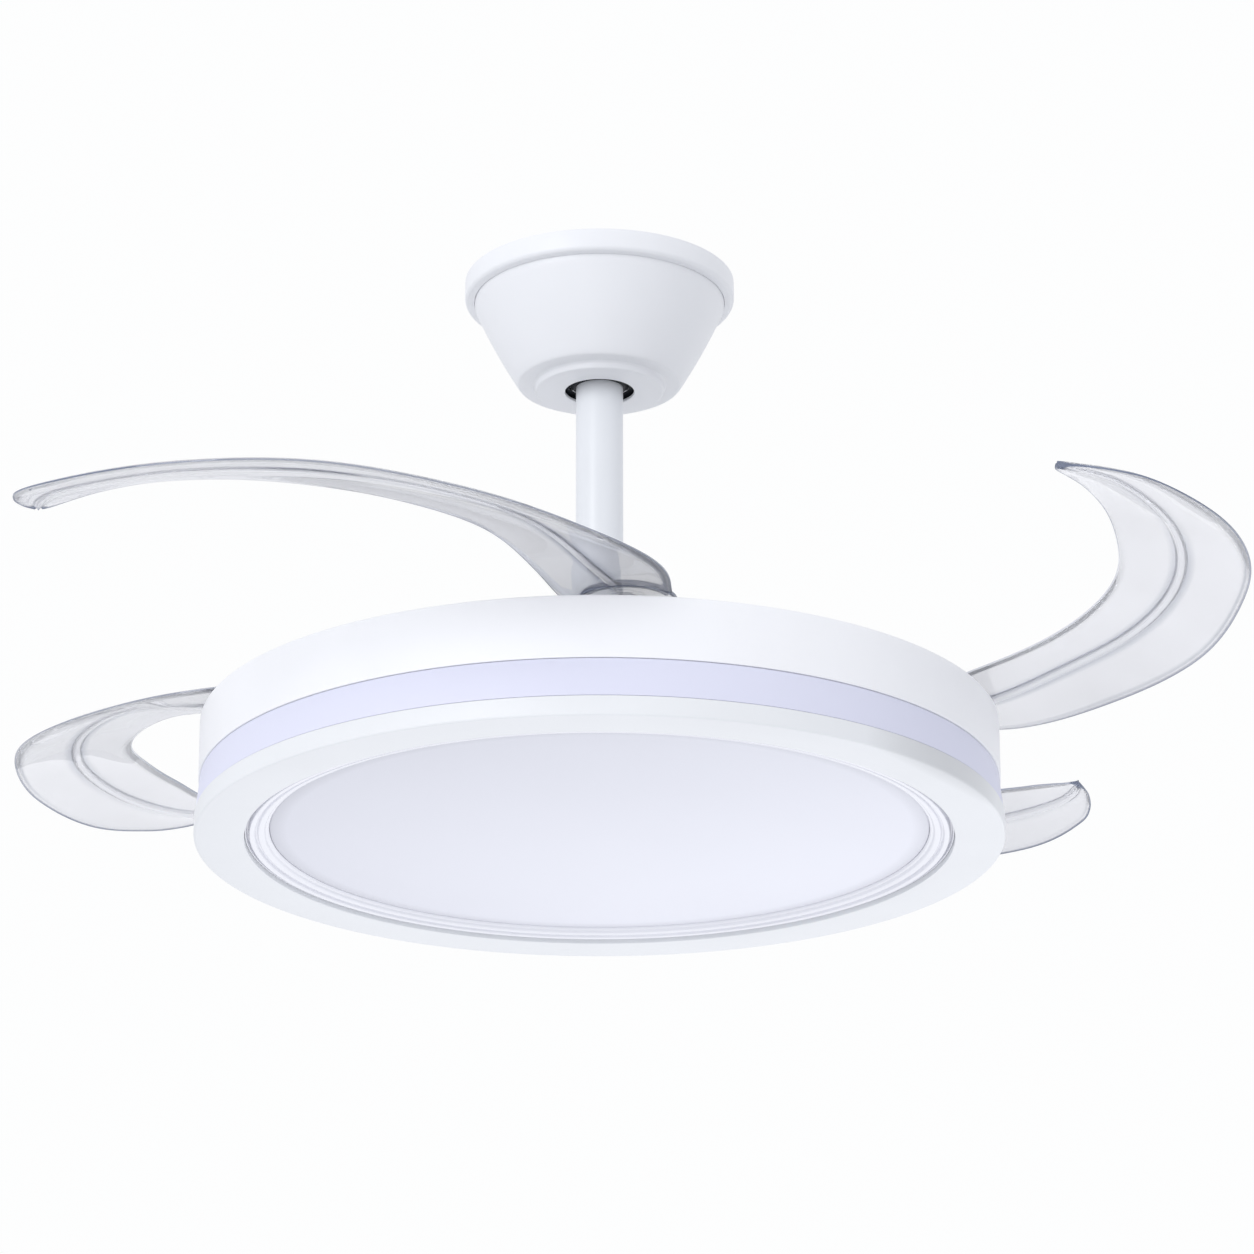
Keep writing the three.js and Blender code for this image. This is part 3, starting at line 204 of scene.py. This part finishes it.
def paint_light_gradient(material, along, reach, low, high):
    """Painted light and shade: multiply a finish by a brightness that goes from `low` to `high`
    over `reach`. It changes along one direction, or without one with the distance from the fan's
    axis."""
    tree = material.node_tree
    shader = tree.nodes["Principled BSDF"]
    color = shader.inputs["Base Color"].links[0].from_socket
    place = tree.nodes.new("ShaderNodeTexCoord")
    dot = tree.nodes.new("ShaderNodeVectorMath")
    if along:
        dot.operation = "DOT_PRODUCT"
        dot.inputs[1].default_value = Vector(along).normalized()
        tree.links.new(place.outputs["Object"], dot.inputs[0])
    else:
        flat = tree.nodes.new("ShaderNodeVectorMath")
        flat.operation = "MULTIPLY"
        flat.inputs[1].default_value = (1, 1, 0)
        tree.links.new(place.outputs["Object"], flat.inputs[0])
        dot.operation = "LENGTH"
        tree.links.new(flat.outputs["Vector"], dot.inputs[0])
    level = node(tree, "ShaderNodeMapRange")
    level.inputs["From Min"].default_value = reach[0]
    level.inputs["From Max"].default_value = reach[1]
    level.inputs["To Min"].default_value = low
    level.inputs["To Max"].default_value = high
    times = tree.nodes.new("ShaderNodeVectorMath")
    times.operation = "SCALE"
    tree.links.new(dot.outputs["Value"], level.inputs["Value"])
    tree.links.new(color, times.inputs[0])
    tree.links.new(level.outputs["Result"], times.inputs["Scale"])
    tree.links.new(times.outputs["Vector"], shader.inputs["Base Color"])


# Painted light: the lens is brighter towards the right and the far side.
paint_light_gradient(lens_acrylic, (0.75, 0.65, 0), (-0.22, 0.22), 0.96, 1.15)
# Painted shade: the lens darkens towards its rim, as in the shade of the trim's recess.
paint_light_gradient(lens_acrylic, None, (0.193, 0.2034), 1.0, 0.84)
# Painted light and shade: the lilac strip is lighter on its left and darker towards its right.
paint_light_gradient(strip_acrylic, (1, -0.3, 0), (-0.25, 0.25), 1.05, 0.98)
# Painted shade: the lower ring's outer wall is darker on its right front.
paint_light_gradient(ring_plastic, (0.83, -0.56, 0), (0.238, 0.2505), 1.0, 0.80)
# Painted shade: the white paint is darker towards the right, on the canopy and on every part in
# this finish.
paint_light_gradient(white_paint, (1, 0, 0), (-0.12, 0.12), 1.02, 0.92)
# Painted light: the band is lighter on its front, towards the left.
paint_light_gradient(band_plastic, (-0.35, -0.94, 0), (0.185, 0.245), 1.0, 1.045)


def clear_plastic(name, tint, rough, shade, painted_edge_shade_tint):
    """Polished see-through moulding: darker where its edge attribute is high, as painted shade;
    milky where its haze attribute is, which also paints a highlight on its rib's crest.
    """
    material = surface(name, tint, rough, shade=shade, grain=60, bump=0.01, patch=8)
    tree = material.node_tree
    shader = tree.nodes["Principled BSDF"]
    shader.inputs["IOR"].default_value = 1.45
    color = shader.inputs["Base Color"].links[0].from_socket
    # Painted shade and highlight: the edge attribute mixes a dark tint into the colour along the
    # blade's edges and beside its rib, and the haze attribute turns transmission down, which paints
    # the rib's crest as a white highlight.
    painted_edge_shade = tree.nodes.new("ShaderNodeAttribute")
    painted_edge_shade.attribute_name = "painted_edge_shade"
    haze_and_sheen = tree.nodes.new("ShaderNodeAttribute")
    haze_and_sheen.attribute_name = "haze_and_sheen"
    # A colour mix takes its two colours at inputs 6 and 7 and gives its result at output 2.
    darker = tree.nodes.new("ShaderNodeMix")
    darker.data_type = "RGBA"
    tree.links.new(painted_edge_shade.outputs["Fac"], darker.inputs["Factor"])
    tree.links.new(color, darker.inputs[6])
    darker.inputs[7].default_value = (*painted_edge_shade_tint, 1)
    tree.links.new(darker.outputs[2], shader.inputs["Base Color"])
    clear = node(tree, "ShaderNodeMapRange")
    clear.inputs["To Min"].default_value = 1.0
    clear.inputs["To Max"].default_value = 0.0
    tree.links.new(haze_and_sheen.outputs["Fac"], clear.inputs["Value"])
    tree.links.new(clear.outputs["Result"], shader.inputs["Transmission Weight"])
    return material


# The last colour is the dark navy tint painted along the blades' edges as shade.
blade_clear = clear_plastic("blade_clear", (0.885, 0.89, 0.925), 0.03, 0.07, (0.10, 0.14, 0.25))

# ---- stage: pale floor far below, white beyond it
# The camera sees an even near-white, and so does light that comes through the clear blades.
# The light on the fan is soft and a little stronger from the left.
FLOOR_LEVEL, FLOOR_REACH = -4.5, 25
floor = bpy.data.objects.new("floor", bpy.data.meshes.new("floor"))
floor.data.from_pydata([
    (-FLOOR_REACH, -FLOOR_REACH, FLOOR_LEVEL), (FLOOR_REACH, -FLOOR_REACH, FLOOR_LEVEL),
    (FLOOR_REACH, FLOOR_REACH, FLOOR_LEVEL), (-FLOOR_REACH, FLOOR_REACH, FLOOR_LEVEL),
], [], [(0, 1, 2, 3)])
floor.data.materials.append(surface("floor_paint", (0.90, 0.90, 0.91), 0.8, shade=0.01, patch=1))
bpy.context.collection.objects.link(floor)

world = bpy.data.worlds.new("world")
bpy.context.scene.world = world
world.use_nodes = True
tree = world.node_tree
tree.nodes.clear()
seen = node(tree, "ShaderNodeBackground", Color=(0.985, 0.988, 0.99, 1), Strength=1.0)
lit = node(tree, "ShaderNodeBackground", Color=(0.945, 0.96, 1.0, 1), Strength=0.90)
path = tree.nodes.new("ShaderNodeLightPath")
either = tree.nodes.new("ShaderNodeMath")
either.operation = "MAXIMUM"
mix = tree.nodes.new("ShaderNodeMixShader")
out = tree.nodes.new("ShaderNodeOutputWorld")
tree.links.new(path.outputs["Is Camera Ray"], either.inputs[0])
tree.links.new(path.outputs["Is Transmission Ray"], either.inputs[1])
tree.links.new(either.outputs["Value"], mix.inputs["Fac"])
tree.links.new(lit.outputs["Background"], mix.inputs[1])
tree.links.new(seen.outputs["Background"], mix.inputs[2])
tree.links.new(mix.outputs["Shader"], out.inputs["Surface"])


def area(name, place, aim, size, power, color):
    """A soft round lamp, itself out of the camera's sight."""
    lamp = bpy.data.objects.new(name, bpy.data.lights.new(name, "AREA"))
    lamp.data.shape = "DISK"
    lamp.data.size = size
    lamp.data.energy = power
    lamp.data.color = color
    lamp.location = place
    lamp.rotation_mode = "QUATERNION"
    lamp.rotation_quaternion = (Vector(aim) - Vector(place)).to_track_quat("-Z", "Y")
    lamp.visible_camera = False
    bpy.context.collection.objects.link(lamp)


area("key", (-2.5, -3.7, 0.7), (0, 0, -0.3), 2.2, 46, (1.0, 1.0, 1.0))
area("fill", (-1.0, -3.5, -2.2), (0, 0, -0.35), 2.5, 12, (0.97, 0.98, 1.0))
area("under", (0.9, 2.2, -2.4), (0, 0, -0.35), 5.0, 30, (1.0, 1.0, 1.0))

# ---- canopy: spun bowl with a raised boss, and the hoop over its rim
# The bowl's side is one gentle curve; its floor steps down to the boss that the rod comes through.
BOWL_TOP, BOWL_FOOT = Vector((80.0, 361.0)), Vector((53.0, 309.0))
BOWL_BULGE, BOWL_STEPS = 4.4, 14
slope = []
for k in range(BOWL_STEPS + 1):
    t = k / BOWL_STEPS
    point = BOWL_TOP + (BOWL_FOOT - BOWL_TOP) * t
    slope.append((point.x + BOWL_BULGE * t * (1 - t), point.y, 0))
canopy = turned("canopy_bowl", [
    (80, 377.7, 0), *slope, (51.4, 307, 1.2), (42.6, 307, 0.6), (41.4, 305.6, 0.5),
    (40.7, 302, 1.4), (22, 302, 0.8), (22, 304, 0.3), (38.7, 304, 0), (39.5, 309, 0),
    *[(x - 2, z + 0.4, 0) for x, z, _ in reversed(slope)], (78, 377.7, 0),
])
dress(canopy, white_paint, "hanger", "white_paint", "canopy")
hoop = turned("canopy_hoop", [
    (86.3, 377.7, 0.6), (86.3, 365.2, 1.4), (84.6, 363.4, 1.0), (82.2, 363.2, 0.8),
    (80.3, 363, 0.4), (80.3, 365, 0), (84.3, 365.4, 0), (84.3, 377.7, 0),
])
dress(hoop, white_paint, "hanger", "white_paint", "canopy_ring")

# ---- hanger ball, the bush round it and the rod
# The ball's lower cap shows in the canopy's hole, in a thin black bush that stays clear of it.
# The rod is a painted tube.
BALL, BALL_LEVEL, BALL_STEPS = 26, 325, 16
low, high = -math.asin(20.5 / BALL), math.asin(13 / BALL)
ball_points = []
for k in range(BALL_STEPS + 1):
    a = low + (high - low) * k / BALL_STEPS
    ball_points.append((BALL * math.cos(a), BALL_LEVEL + BALL * math.sin(a), 0))
ball = turned("hanger_ball_skin", [*ball_points, (15.3, 338, 0), (15.3, 304.5, 0)], 96)
dress(ball, black_rubber, "drop", "black_rubber", "hanger_ball")
bush = turned("canopy_bush", [
    (24.2, 304.1, 0.2), (25.2, 304.1, 0.2), (25.2, 307, 0.3), (19.6, 307.2, 0.2),
    (19.6, 306.5, 0.2), (24.2, 306.2, 0.2),
], 96)
dress(bush, black_rubber, "hanger", "black_rubber")
rod = turned("downrod_tube", [(13, 131.3, 0), (15, 131.3, 0.4), (15, 349, 0.6), (13, 349, 0.4)], 96)
dress(rod, rod_paint, "drop", "white_paint", "downrod")

# ---- lamp body: four stacked rings and the lens, each with its own edge
# From the top: the white band, the lilac strip, the ring with its wide flat underside,
# the stepped trim with two grooves, and the milky dish.
ROUND = 256
band = turned("top_band_shell", [
    (248, 35.8, 0.5), (248, 74, 1.6), (228, 74, 0.8), (228, 65.8, 0),
    (230.5, 65.8, 0), (230.5, 71.5, 0), (245.5, 71.5, 0), (245.5, 35.8, 0.2),
], ROUND)
dress(band, band_plastic, "drop", "white_plastic", "top_band")
strip = turned("side_strip", [
    (249.5, 12.3, 0.3), (247.0, 35.5, 0.3), (244.5, 35.5, 0), (247.0, 12.3, 0),
], ROUND)
dress(strip, strip_acrylic, "drop", "lilac_diffuser", "side_diffuser")
lower = turned("lower_ring_shell", [
    (219, 0, 0.7), (250, 0, 1.6), (250, 12, 0.5), (247.5, 12, 0),
    (247.5, 2.5, 0), (221.5, 2.5, 0), (221.5, 11.2, 0), (219, 11.2, 0),
], ROUND)
dress(lower, ring_plastic, "drop", "white_plastic", "lower_ring")
trim = turned("trim_steps", [
    (218.7, 3.2, 0.2), (217.9, 3.2, 0.3), (217.5, 6.2, 0.2), (216.4, 6.2, 0.2), (215.8, 1.9, 0.6),
    (212.6, 2.3, 0.6), (212.0, 4.4, 0.3), (210.9, 4.4, 0.3), (210.2, 3.0, 0.6), (206.6, 3.6, 0.8),
    (205.8, 5.2, 0.4), (204.4, 5.4, 0.3), (203.6, 6.4, 0.2), (203.6, 8.8, 0), (218.7, 8.8, 0),
], ROUND)
dress(trim, trim_plastic, "drop", "white_plastic", "trim_ring")
lens = turned("lens_dish", [
    (0, 6.5, 0), (202.4, 6.5, 0), (203.4, 6.9, 0.3), (203.4, 9.1, 0), (208, 9.1, 0),
    (208, 10.9, 0), (201, 10.9, 0), (201, 8.5, 0), (0, 8.5, 0),
], ROUND)
dress(lens, lens_acrylic, "drop", "lilac_diffuser", "lens")

# ---- what shows from above: the lamp's tray and the motor's case
# The case is a low dome on a flat base, and it turns with the blades; the tray stands still.
tray = turned("tray_disc", [
    (10.3, 60, 0), (190, 60, 1), (194, 64, 1), (238.5, 64, 0.3), (238.5, 65.5, 0.3),
    (193.4, 65.5, 1), (189.4, 61.5, 1), (10.3, 61.5, 0),
])
dress(tray, white_paint, "drop", "white_paint", "lamp_tray")
case_top = turned("motor_dome", [
    (88, 93.3, 0), (88, 111, 0), (84.5, 119.5, 6), (76, 123, 3), (12, 123, 0.5),
    (12, 120.3, 0), (74, 120.3, 3), (85, 109, 3), (85, 93.3, 0),
], 128)
dress(case_top, white_paint, "rotor", "white_paint", "rotor_case_upper")
case_low = turned("motor_base", [
    (12, 73, 0), (101, 73, 0.8), (101, 76.7, 0.8), (88, 76.7, 0), (88, 93, 0), (85, 93, 0),
    (85, 75.7, 0), (12, 75.7, 0),
], 128)
dress(case_low, cast_aluminium, "rotor", "aluminium", "rotor_case_lower")

# ---- blades: clear crescents, drawn once and turned to the four pivots
# The arc's centre lies one pivot radius from the root, so it meets the fan's axis when folded.
# Edge lists give degrees along the blade, millimetres outside the pivot circle and above the root.
PIVOT, LEAD, FOLD, ROOT = 190.0, 4.8, 75.0, 91.0
OUTER = [(-8, 22, 0), (4, 30, 0), (18, 41, -3.5), (36, 38.2, -1.5), (56, 39.1, 3.5),
         (76, 37.1, 11.5), (96, 39.2, 13.5), (114, 39.6, 15.5), (125, 32, 21.5), (130, 22, 25),
         (134.2, 7, 29), (135.8, -4, 31)]
RIB = [(-8, 0, 0), (4, 0, 0), (18, -2, 1.5), (36, -1.5, 12.5), (56, -2.3, 17.5),
       (76, -2.4, 21.5), (96, -0.5, 24.5), (114, 3.5, 26.5), (125, 5, 28.5), (130, 2.5, 29.5),
       (134.2, -3, 30.8), (135.8, -6.5, 31.6)]
INNER = [(-8, -24, 0), (4, -36, 0), (18, -40.5, 8), (36, -38, 16.5), (56, -39, 22),
         (76, -38.5, 27), (96, -38, 33), (114, -31, 36), (125, -23, 35.5), (130, -18.5, 34.5),
         (134.2, -13, 33), (135.8, -9, 32.2)]
START, SPAN = OUTER[0][0], OUTER[-1][0] - OUTER[0][0]


def spline(points, t):
    """Uniform Catmull-Rom through all points, t from 0 to 1."""
    p = (len(points) - 1) * t
    i = min(int(p), len(points) - 2)
    w = p - i
    a, b, c, d = (Vector(points[max(i - 1, 0)]), Vector(points[i]), Vector(points[i + 1]),
                  Vector(points[min(i + 2, len(points) - 1)]))
    v0, v1 = (c - a) / 2, (d - b) / 2
    cube, square = 2 * b - 2 * c + v0 + v1, -3 * b + 3 * c - 2 * v0 - v1
    return cube * w ** 3 + square * w ** 2 + v0 * w + b


def edge_at(points, turn):
    """Radius and height of an edge at `turn` degrees along the blade, by halving."""
    low, high = 0.0, 1.0
    for _ in range(26):
        middle = (low + high) / 2
        low, high = (middle, high) if spline(points, middle).x < turn else (low, middle)
    p = spline(points, (low + high) / 2)
    return PIVOT + p.y, ROOT + p.z


# Points crowd at the edges and round the rib; half the sheet's thickness grows from EDGE_HALF
# at a rounded edge by BODY_HALF further in, and the rib rises over the middle.
EDGE_CLUSTER = [0, 0.35, 0.8, 1.4, 2.2, 3.2, 4.6, 6.5]
RIB_CLUSTER = [3.5, 2.9, 2.2, 1.4, 0.7]
EDGE_HALF, BODY_HALF, ROUNDING = 0.45, 0.75, 7
CAMBER, RIB_RISE, RIB_HALF = 1.4, 2.2, 3.5
STATIONS, CROWDING = 110, 1.35


def blade_sheet():
    """Closed cross-sections as (turn, radius, height) points, closer together near the tip."""
    rows = []
    for i in range(STATIONS + 1):
        share = i / STATIONS
        turn = START + SPAN * (1 - (1 - share) ** CROWDING)
        a, b, c = edge_at(INNER, turn), edge_at(RIB, turn), edge_at(OUTER, turn)
        fade = min(1, max(0, (turn - 4) / 12))
        top, bottom = [], []
        for edge, inward in ((a, 1), (c, -1)):
            wide = max(0.2, abs(b[0] - edge[0]))
            fit = min(1, wide / 14)
            near = [d * fit for d in EDGE_CLUSTER]
            far = [wide - d * fit for d in RIB_CLUSTER]
            between = [near[-1] + (far[0] - near[-1]) * k / 6 for k in range(1, 6)]
            places = near + between + far + ([wide] if inward == 1 else [])
            side_top, side_bottom = [], []
            for d in places:
                s = d / wide
                radius = edge[0] + inward * d
                height = edge[1] + s * (b[1] - edge[1]) + CAMBER * fade * 4 * s * (1 - s)
                inwards = min(1, d / (ROUNDING * fit))
                half = EDGE_HALF + BODY_HALF * math.sin(inwards * math.pi / 2)
                to_rib = (wide - d) / fit
                rise = RIB_RISE * fade * math.sqrt(max(0, 1 - (to_rib / RIB_HALF) ** 2))
                side_bottom.append((turn, radius, height - half))
                side_top.append((turn, radius, height + half + rise))
            if inward == -1:
                side_top.reverse()
                side_bottom.reverse()
            top += side_top
            bottom += side_bottom
        rows.append(bottom + top[::-1])
    return rows


def blade_mesh():
    """The sheet lofted through its cross-sections, in the blade's own frame in millimetres."""
    rows = blade_sheet()
    bm = bmesh.new()
    rings = []
    for row in rows:
        ring = []
        for turn, radius, height in row:
            a = -math.radians(turn)
            x, y = -PIVOT + radius * math.cos(a), radius * math.sin(a)
            ring.append(bm.verts.new((x, y, height)))
        rings.append(ring)
    n = len(rings[0])
    for one, two in zip(rings, rings[1:]):
        for k in range(n):
            bm.faces.new((one[k], one[(k + 1) % n], two[(k + 1) % n], two[k]))
    bm.faces.new(rings[0][::-1])
    bm.faces.new(rings[-1])
    bmesh.ops.recalc_face_normals(bm, faces=bm.faces[:])
    return bm


def ring_mesh(profile, segments=64):
    bm = bmesh.new()
    rings = []
    corners = [2 * math.pi * k / segments for k in range(segments)]
    for r, z in profile:
        rings.append([bm.verts.new((r * math.cos(a), r * math.sin(a), z)) for a in corners])
    for one, two in zip(rings, rings[1:] + rings[:1]):
        for k in range(segments):
            bm.faces.new((one[k], one[(k + 1) % segments], two[(k + 1) % segments], two[k]))
    bmesh.ops.recalc_face_normals(bm, faces=bm.faces[:])
    return bm


def box_mesh(x0, x1, y0, y1, z0, z1):
    bm = bmesh.new()
    bmesh.ops.create_cube(bm, size=1)
    for v in bm.verts:
        v.co = ((x0 + x1) / 2 + v.co.x * (x1 - x0), (y0 + y1) / 2 + v.co.y * (y1 - y0),
                (z0 + z1) / 2 + v.co.z * (z1 - z0))
    return bm


def loose(name, bm):
    mesh = bpy.data.meshes.new(name)
    bm.to_mesh(mesh)
    bm.free()
    obj = bpy.data.objects.new(name, mesh)
    bpy.context.collection.objects.link(obj)
    return obj


def combine(base, tools):
    """Exact booleans on scratch objects: each tool is an (operation, object) pair."""
    for operation, tool in tools:
        modifier = base.modifiers.new("cut", "BOOLEAN")
        modifier.operation = operation
        modifier.solver = "EXACT"
        modifier.object = tool
        graph = bpy.context.evaluated_depsgraph_get()
        mesh = bpy.data.meshes.new_from_object(base.evaluated_get(graph))
        base.modifiers.clear()
        base.data = mesh
        bpy.data.objects.remove(tool)
    return base


# Radii of the three edges at even turns, so that each vertex finds its place quickly.
TABLE_STEPS = 288


def edge_table(points):
    return [edge_at(points, START + k * SPAN / TABLE_STEPS)[0] for k in range(TABLE_STEPS + 1)]


EDGE_TABLES = [edge_table(points) for points in (INNER, RIB, OUTER)]


def looked_up(radii, turn):
    p = min(TABLE_STEPS - 0.001, max(0, (turn - START) * TABLE_STEPS / SPAN))
    k, w = int(p), p - int(p)
    return radii[k] * (1 - w) + radii[k + 1] * w


def paint_blade_shade_and_sheen(x, y, z):
    """How dark a spot on a blade is painted, as painted shade along its rims and beside its rib,
    and how milky, as the crest of its rib is, a painted highlight.
    """
    # Painted shade: dark on the collar's top, the disc's edge and both edges of the sheet, darker
    # towards the tip, with a line just inside the outer edge and lines each side of the rib. The
    # milky crest of the rib is a painted highlight.
    from_root = math.hypot(x, y)
    if z > COLLAR_TOP - 1.3 and from_root < COLLAR + 1:
        return 0.85, 0.5
    if abs(z - ROOT) < DISC_HALF + 0.1 and DISC - 0.6 < from_root < DISC + 0.1:
        return 0.8, 0.3
    radius = math.hypot(x + PIVOT, y)
    turn = math.degrees(-math.atan2(y, x + PIVOT))
    if turn < 3:
        return 0, 0.08
    inner, rib, outer = (looked_up(radii, turn) for radii in EDGE_TABLES)
    tip = min(1, max(0, (turn - 84) / 20))
    from_outer, from_inner, off = outer - radius, radius - inner, abs(radius - rib)
    painted_edge_shade, haze_and_sheen = 0, 0.22
    if from_outer < 1.1:
        painted_edge_shade, haze_and_sheen = 0.55 + 0.3 * tip, 0.65
    elif 2.4 < from_outer < 3.6:
        painted_edge_shade = 0.4 * (1 - 0.6 * tip)
    if from_inner < 0.6:
        painted_edge_shade, haze_and_sheen = max(painted_edge_shade, 0.12 + 0.45 * tip), 0.85
    if turn > 135:
        painted_edge_shade, haze_and_sheen = 0.85, 0.6
    if 2.5 < off < 3.7:
        painted_edge_shade = max(painted_edge_shade, 0.38 * (1 - 0.6 * tip))
    if off < 1.7:
        haze_and_sheen = 0.45
    return painted_edge_shade, haze_and_sheen


# The root is a flat disc with a bore; a collar stands on it, open where the rib comes in.
DISC, DISC_HALF, BORE, COLLAR, COLLAR_WALL = 30, 1.5, 9.3, 27, 2
low_root, top_root = ROOT - DISC_HALF, ROOT + DISC_HALF
COLLAR_TOP, COLLAR_BORE = top_root + 4, COLLAR - COLLAR_WALL
hollow = ring_mesh([
    (0.01, top_root), (COLLAR_BORE, top_root), (COLLAR_BORE, top_root + 40), (0.01, top_root + 40),
])
disc = ring_mesh([
    (BORE, low_root), (DISC - 1.2, low_root), (DISC - 0.4, low_root), (DISC, low_root + 0.4),
    (DISC, top_root - 0.4), (DISC - 0.4, top_root), (DISC - 1.2, top_root), (BORE, top_root),
])
collar = ring_mesh([
    (COLLAR_BORE, low_root + 0.5), (COLLAR, low_root + 0.5), (COLLAR, COLLAR_TOP - 0.6),
    (COLLAR - 0.6, COLLAR_TOP), (COLLAR_BORE + 0.6, COLLAR_TOP), (COLLAR_BORE, COLLAR_TOP - 0.6),
])
mouth = box_mesh(13, 45, -7, 7, top_root, top_root + 12)
master = combine(loose("blade_master", blade_mesh()), [
    ("DIFFERENCE", loose("hollow", hollow)), ("UNION", loose("disc", disc)),
    ("UNION", loose("collar", collar)), ("DIFFERENCE", loose("mouth", mouth)),
])
for i in range(4):
    angle = math.radians(-90 + LEAD + 90 * i)
    turn = angle + math.radians(FOLD)
    bm = bmesh.new()
    bm.from_mesh(master.data)
    # The painted shade and the haze, with the rib's painted highlight, go on each vertex as
    # attributes.
    painted_edge_shade_layer = bm.verts.layers.float.new("painted_edge_shade")
    haze_and_sheen_layer = bm.verts.layers.float.new("haze_and_sheen")
    for v in bm.verts:
        x, y, z = v.co
        v[painted_edge_shade_layer], v[haze_and_sheen_layer] = paint_blade_shade_and_sheen(x, y, z)
        across = PIVOT * math.cos(angle) + x * math.cos(turn) - y * math.sin(turn)
        away = PIVOT * math.sin(angle) + x * math.sin(turn) + y * math.cos(turn)
        v.co = (across / 1000, away / 1000, up(z))
    blade = new_object(f"clear_blade_{i + 1}", bm, 40)
    dress(blade, blade_clear, f"blade_{i + 1}", "clear_plastic", f"blade_{i + 1}")
bpy.data.objects.remove(master)

# ---- solids of the frame that stay
# Bracket, ball seat, gears, springs, motor and lamp parts get the finish of what they are made of;
# the white paint, white plastic, lilac diffuser and clear plastic carry the painted light and shade
# set above.
finishes = {
    "white_paint": white_paint, "white_plastic": band_plastic, "lilac_diffuser": lens_acrylic,
    "clear_plastic": blade_clear, "plated_steel": zinc, "dark_steel": dark_steel,
    "aluminium": cast_aluminium, "black_rubber": black_rubber, "white_nylon": nylon,
    "copper_winding": copper_wire, "ferrite": ferrite,
}
for part in frame["record"]["subparts"]:
    solid = frame["nodes"][part["node"]]
    for slot in solid.material_slots:
        slot.material = finishes[part["material_slot"]]
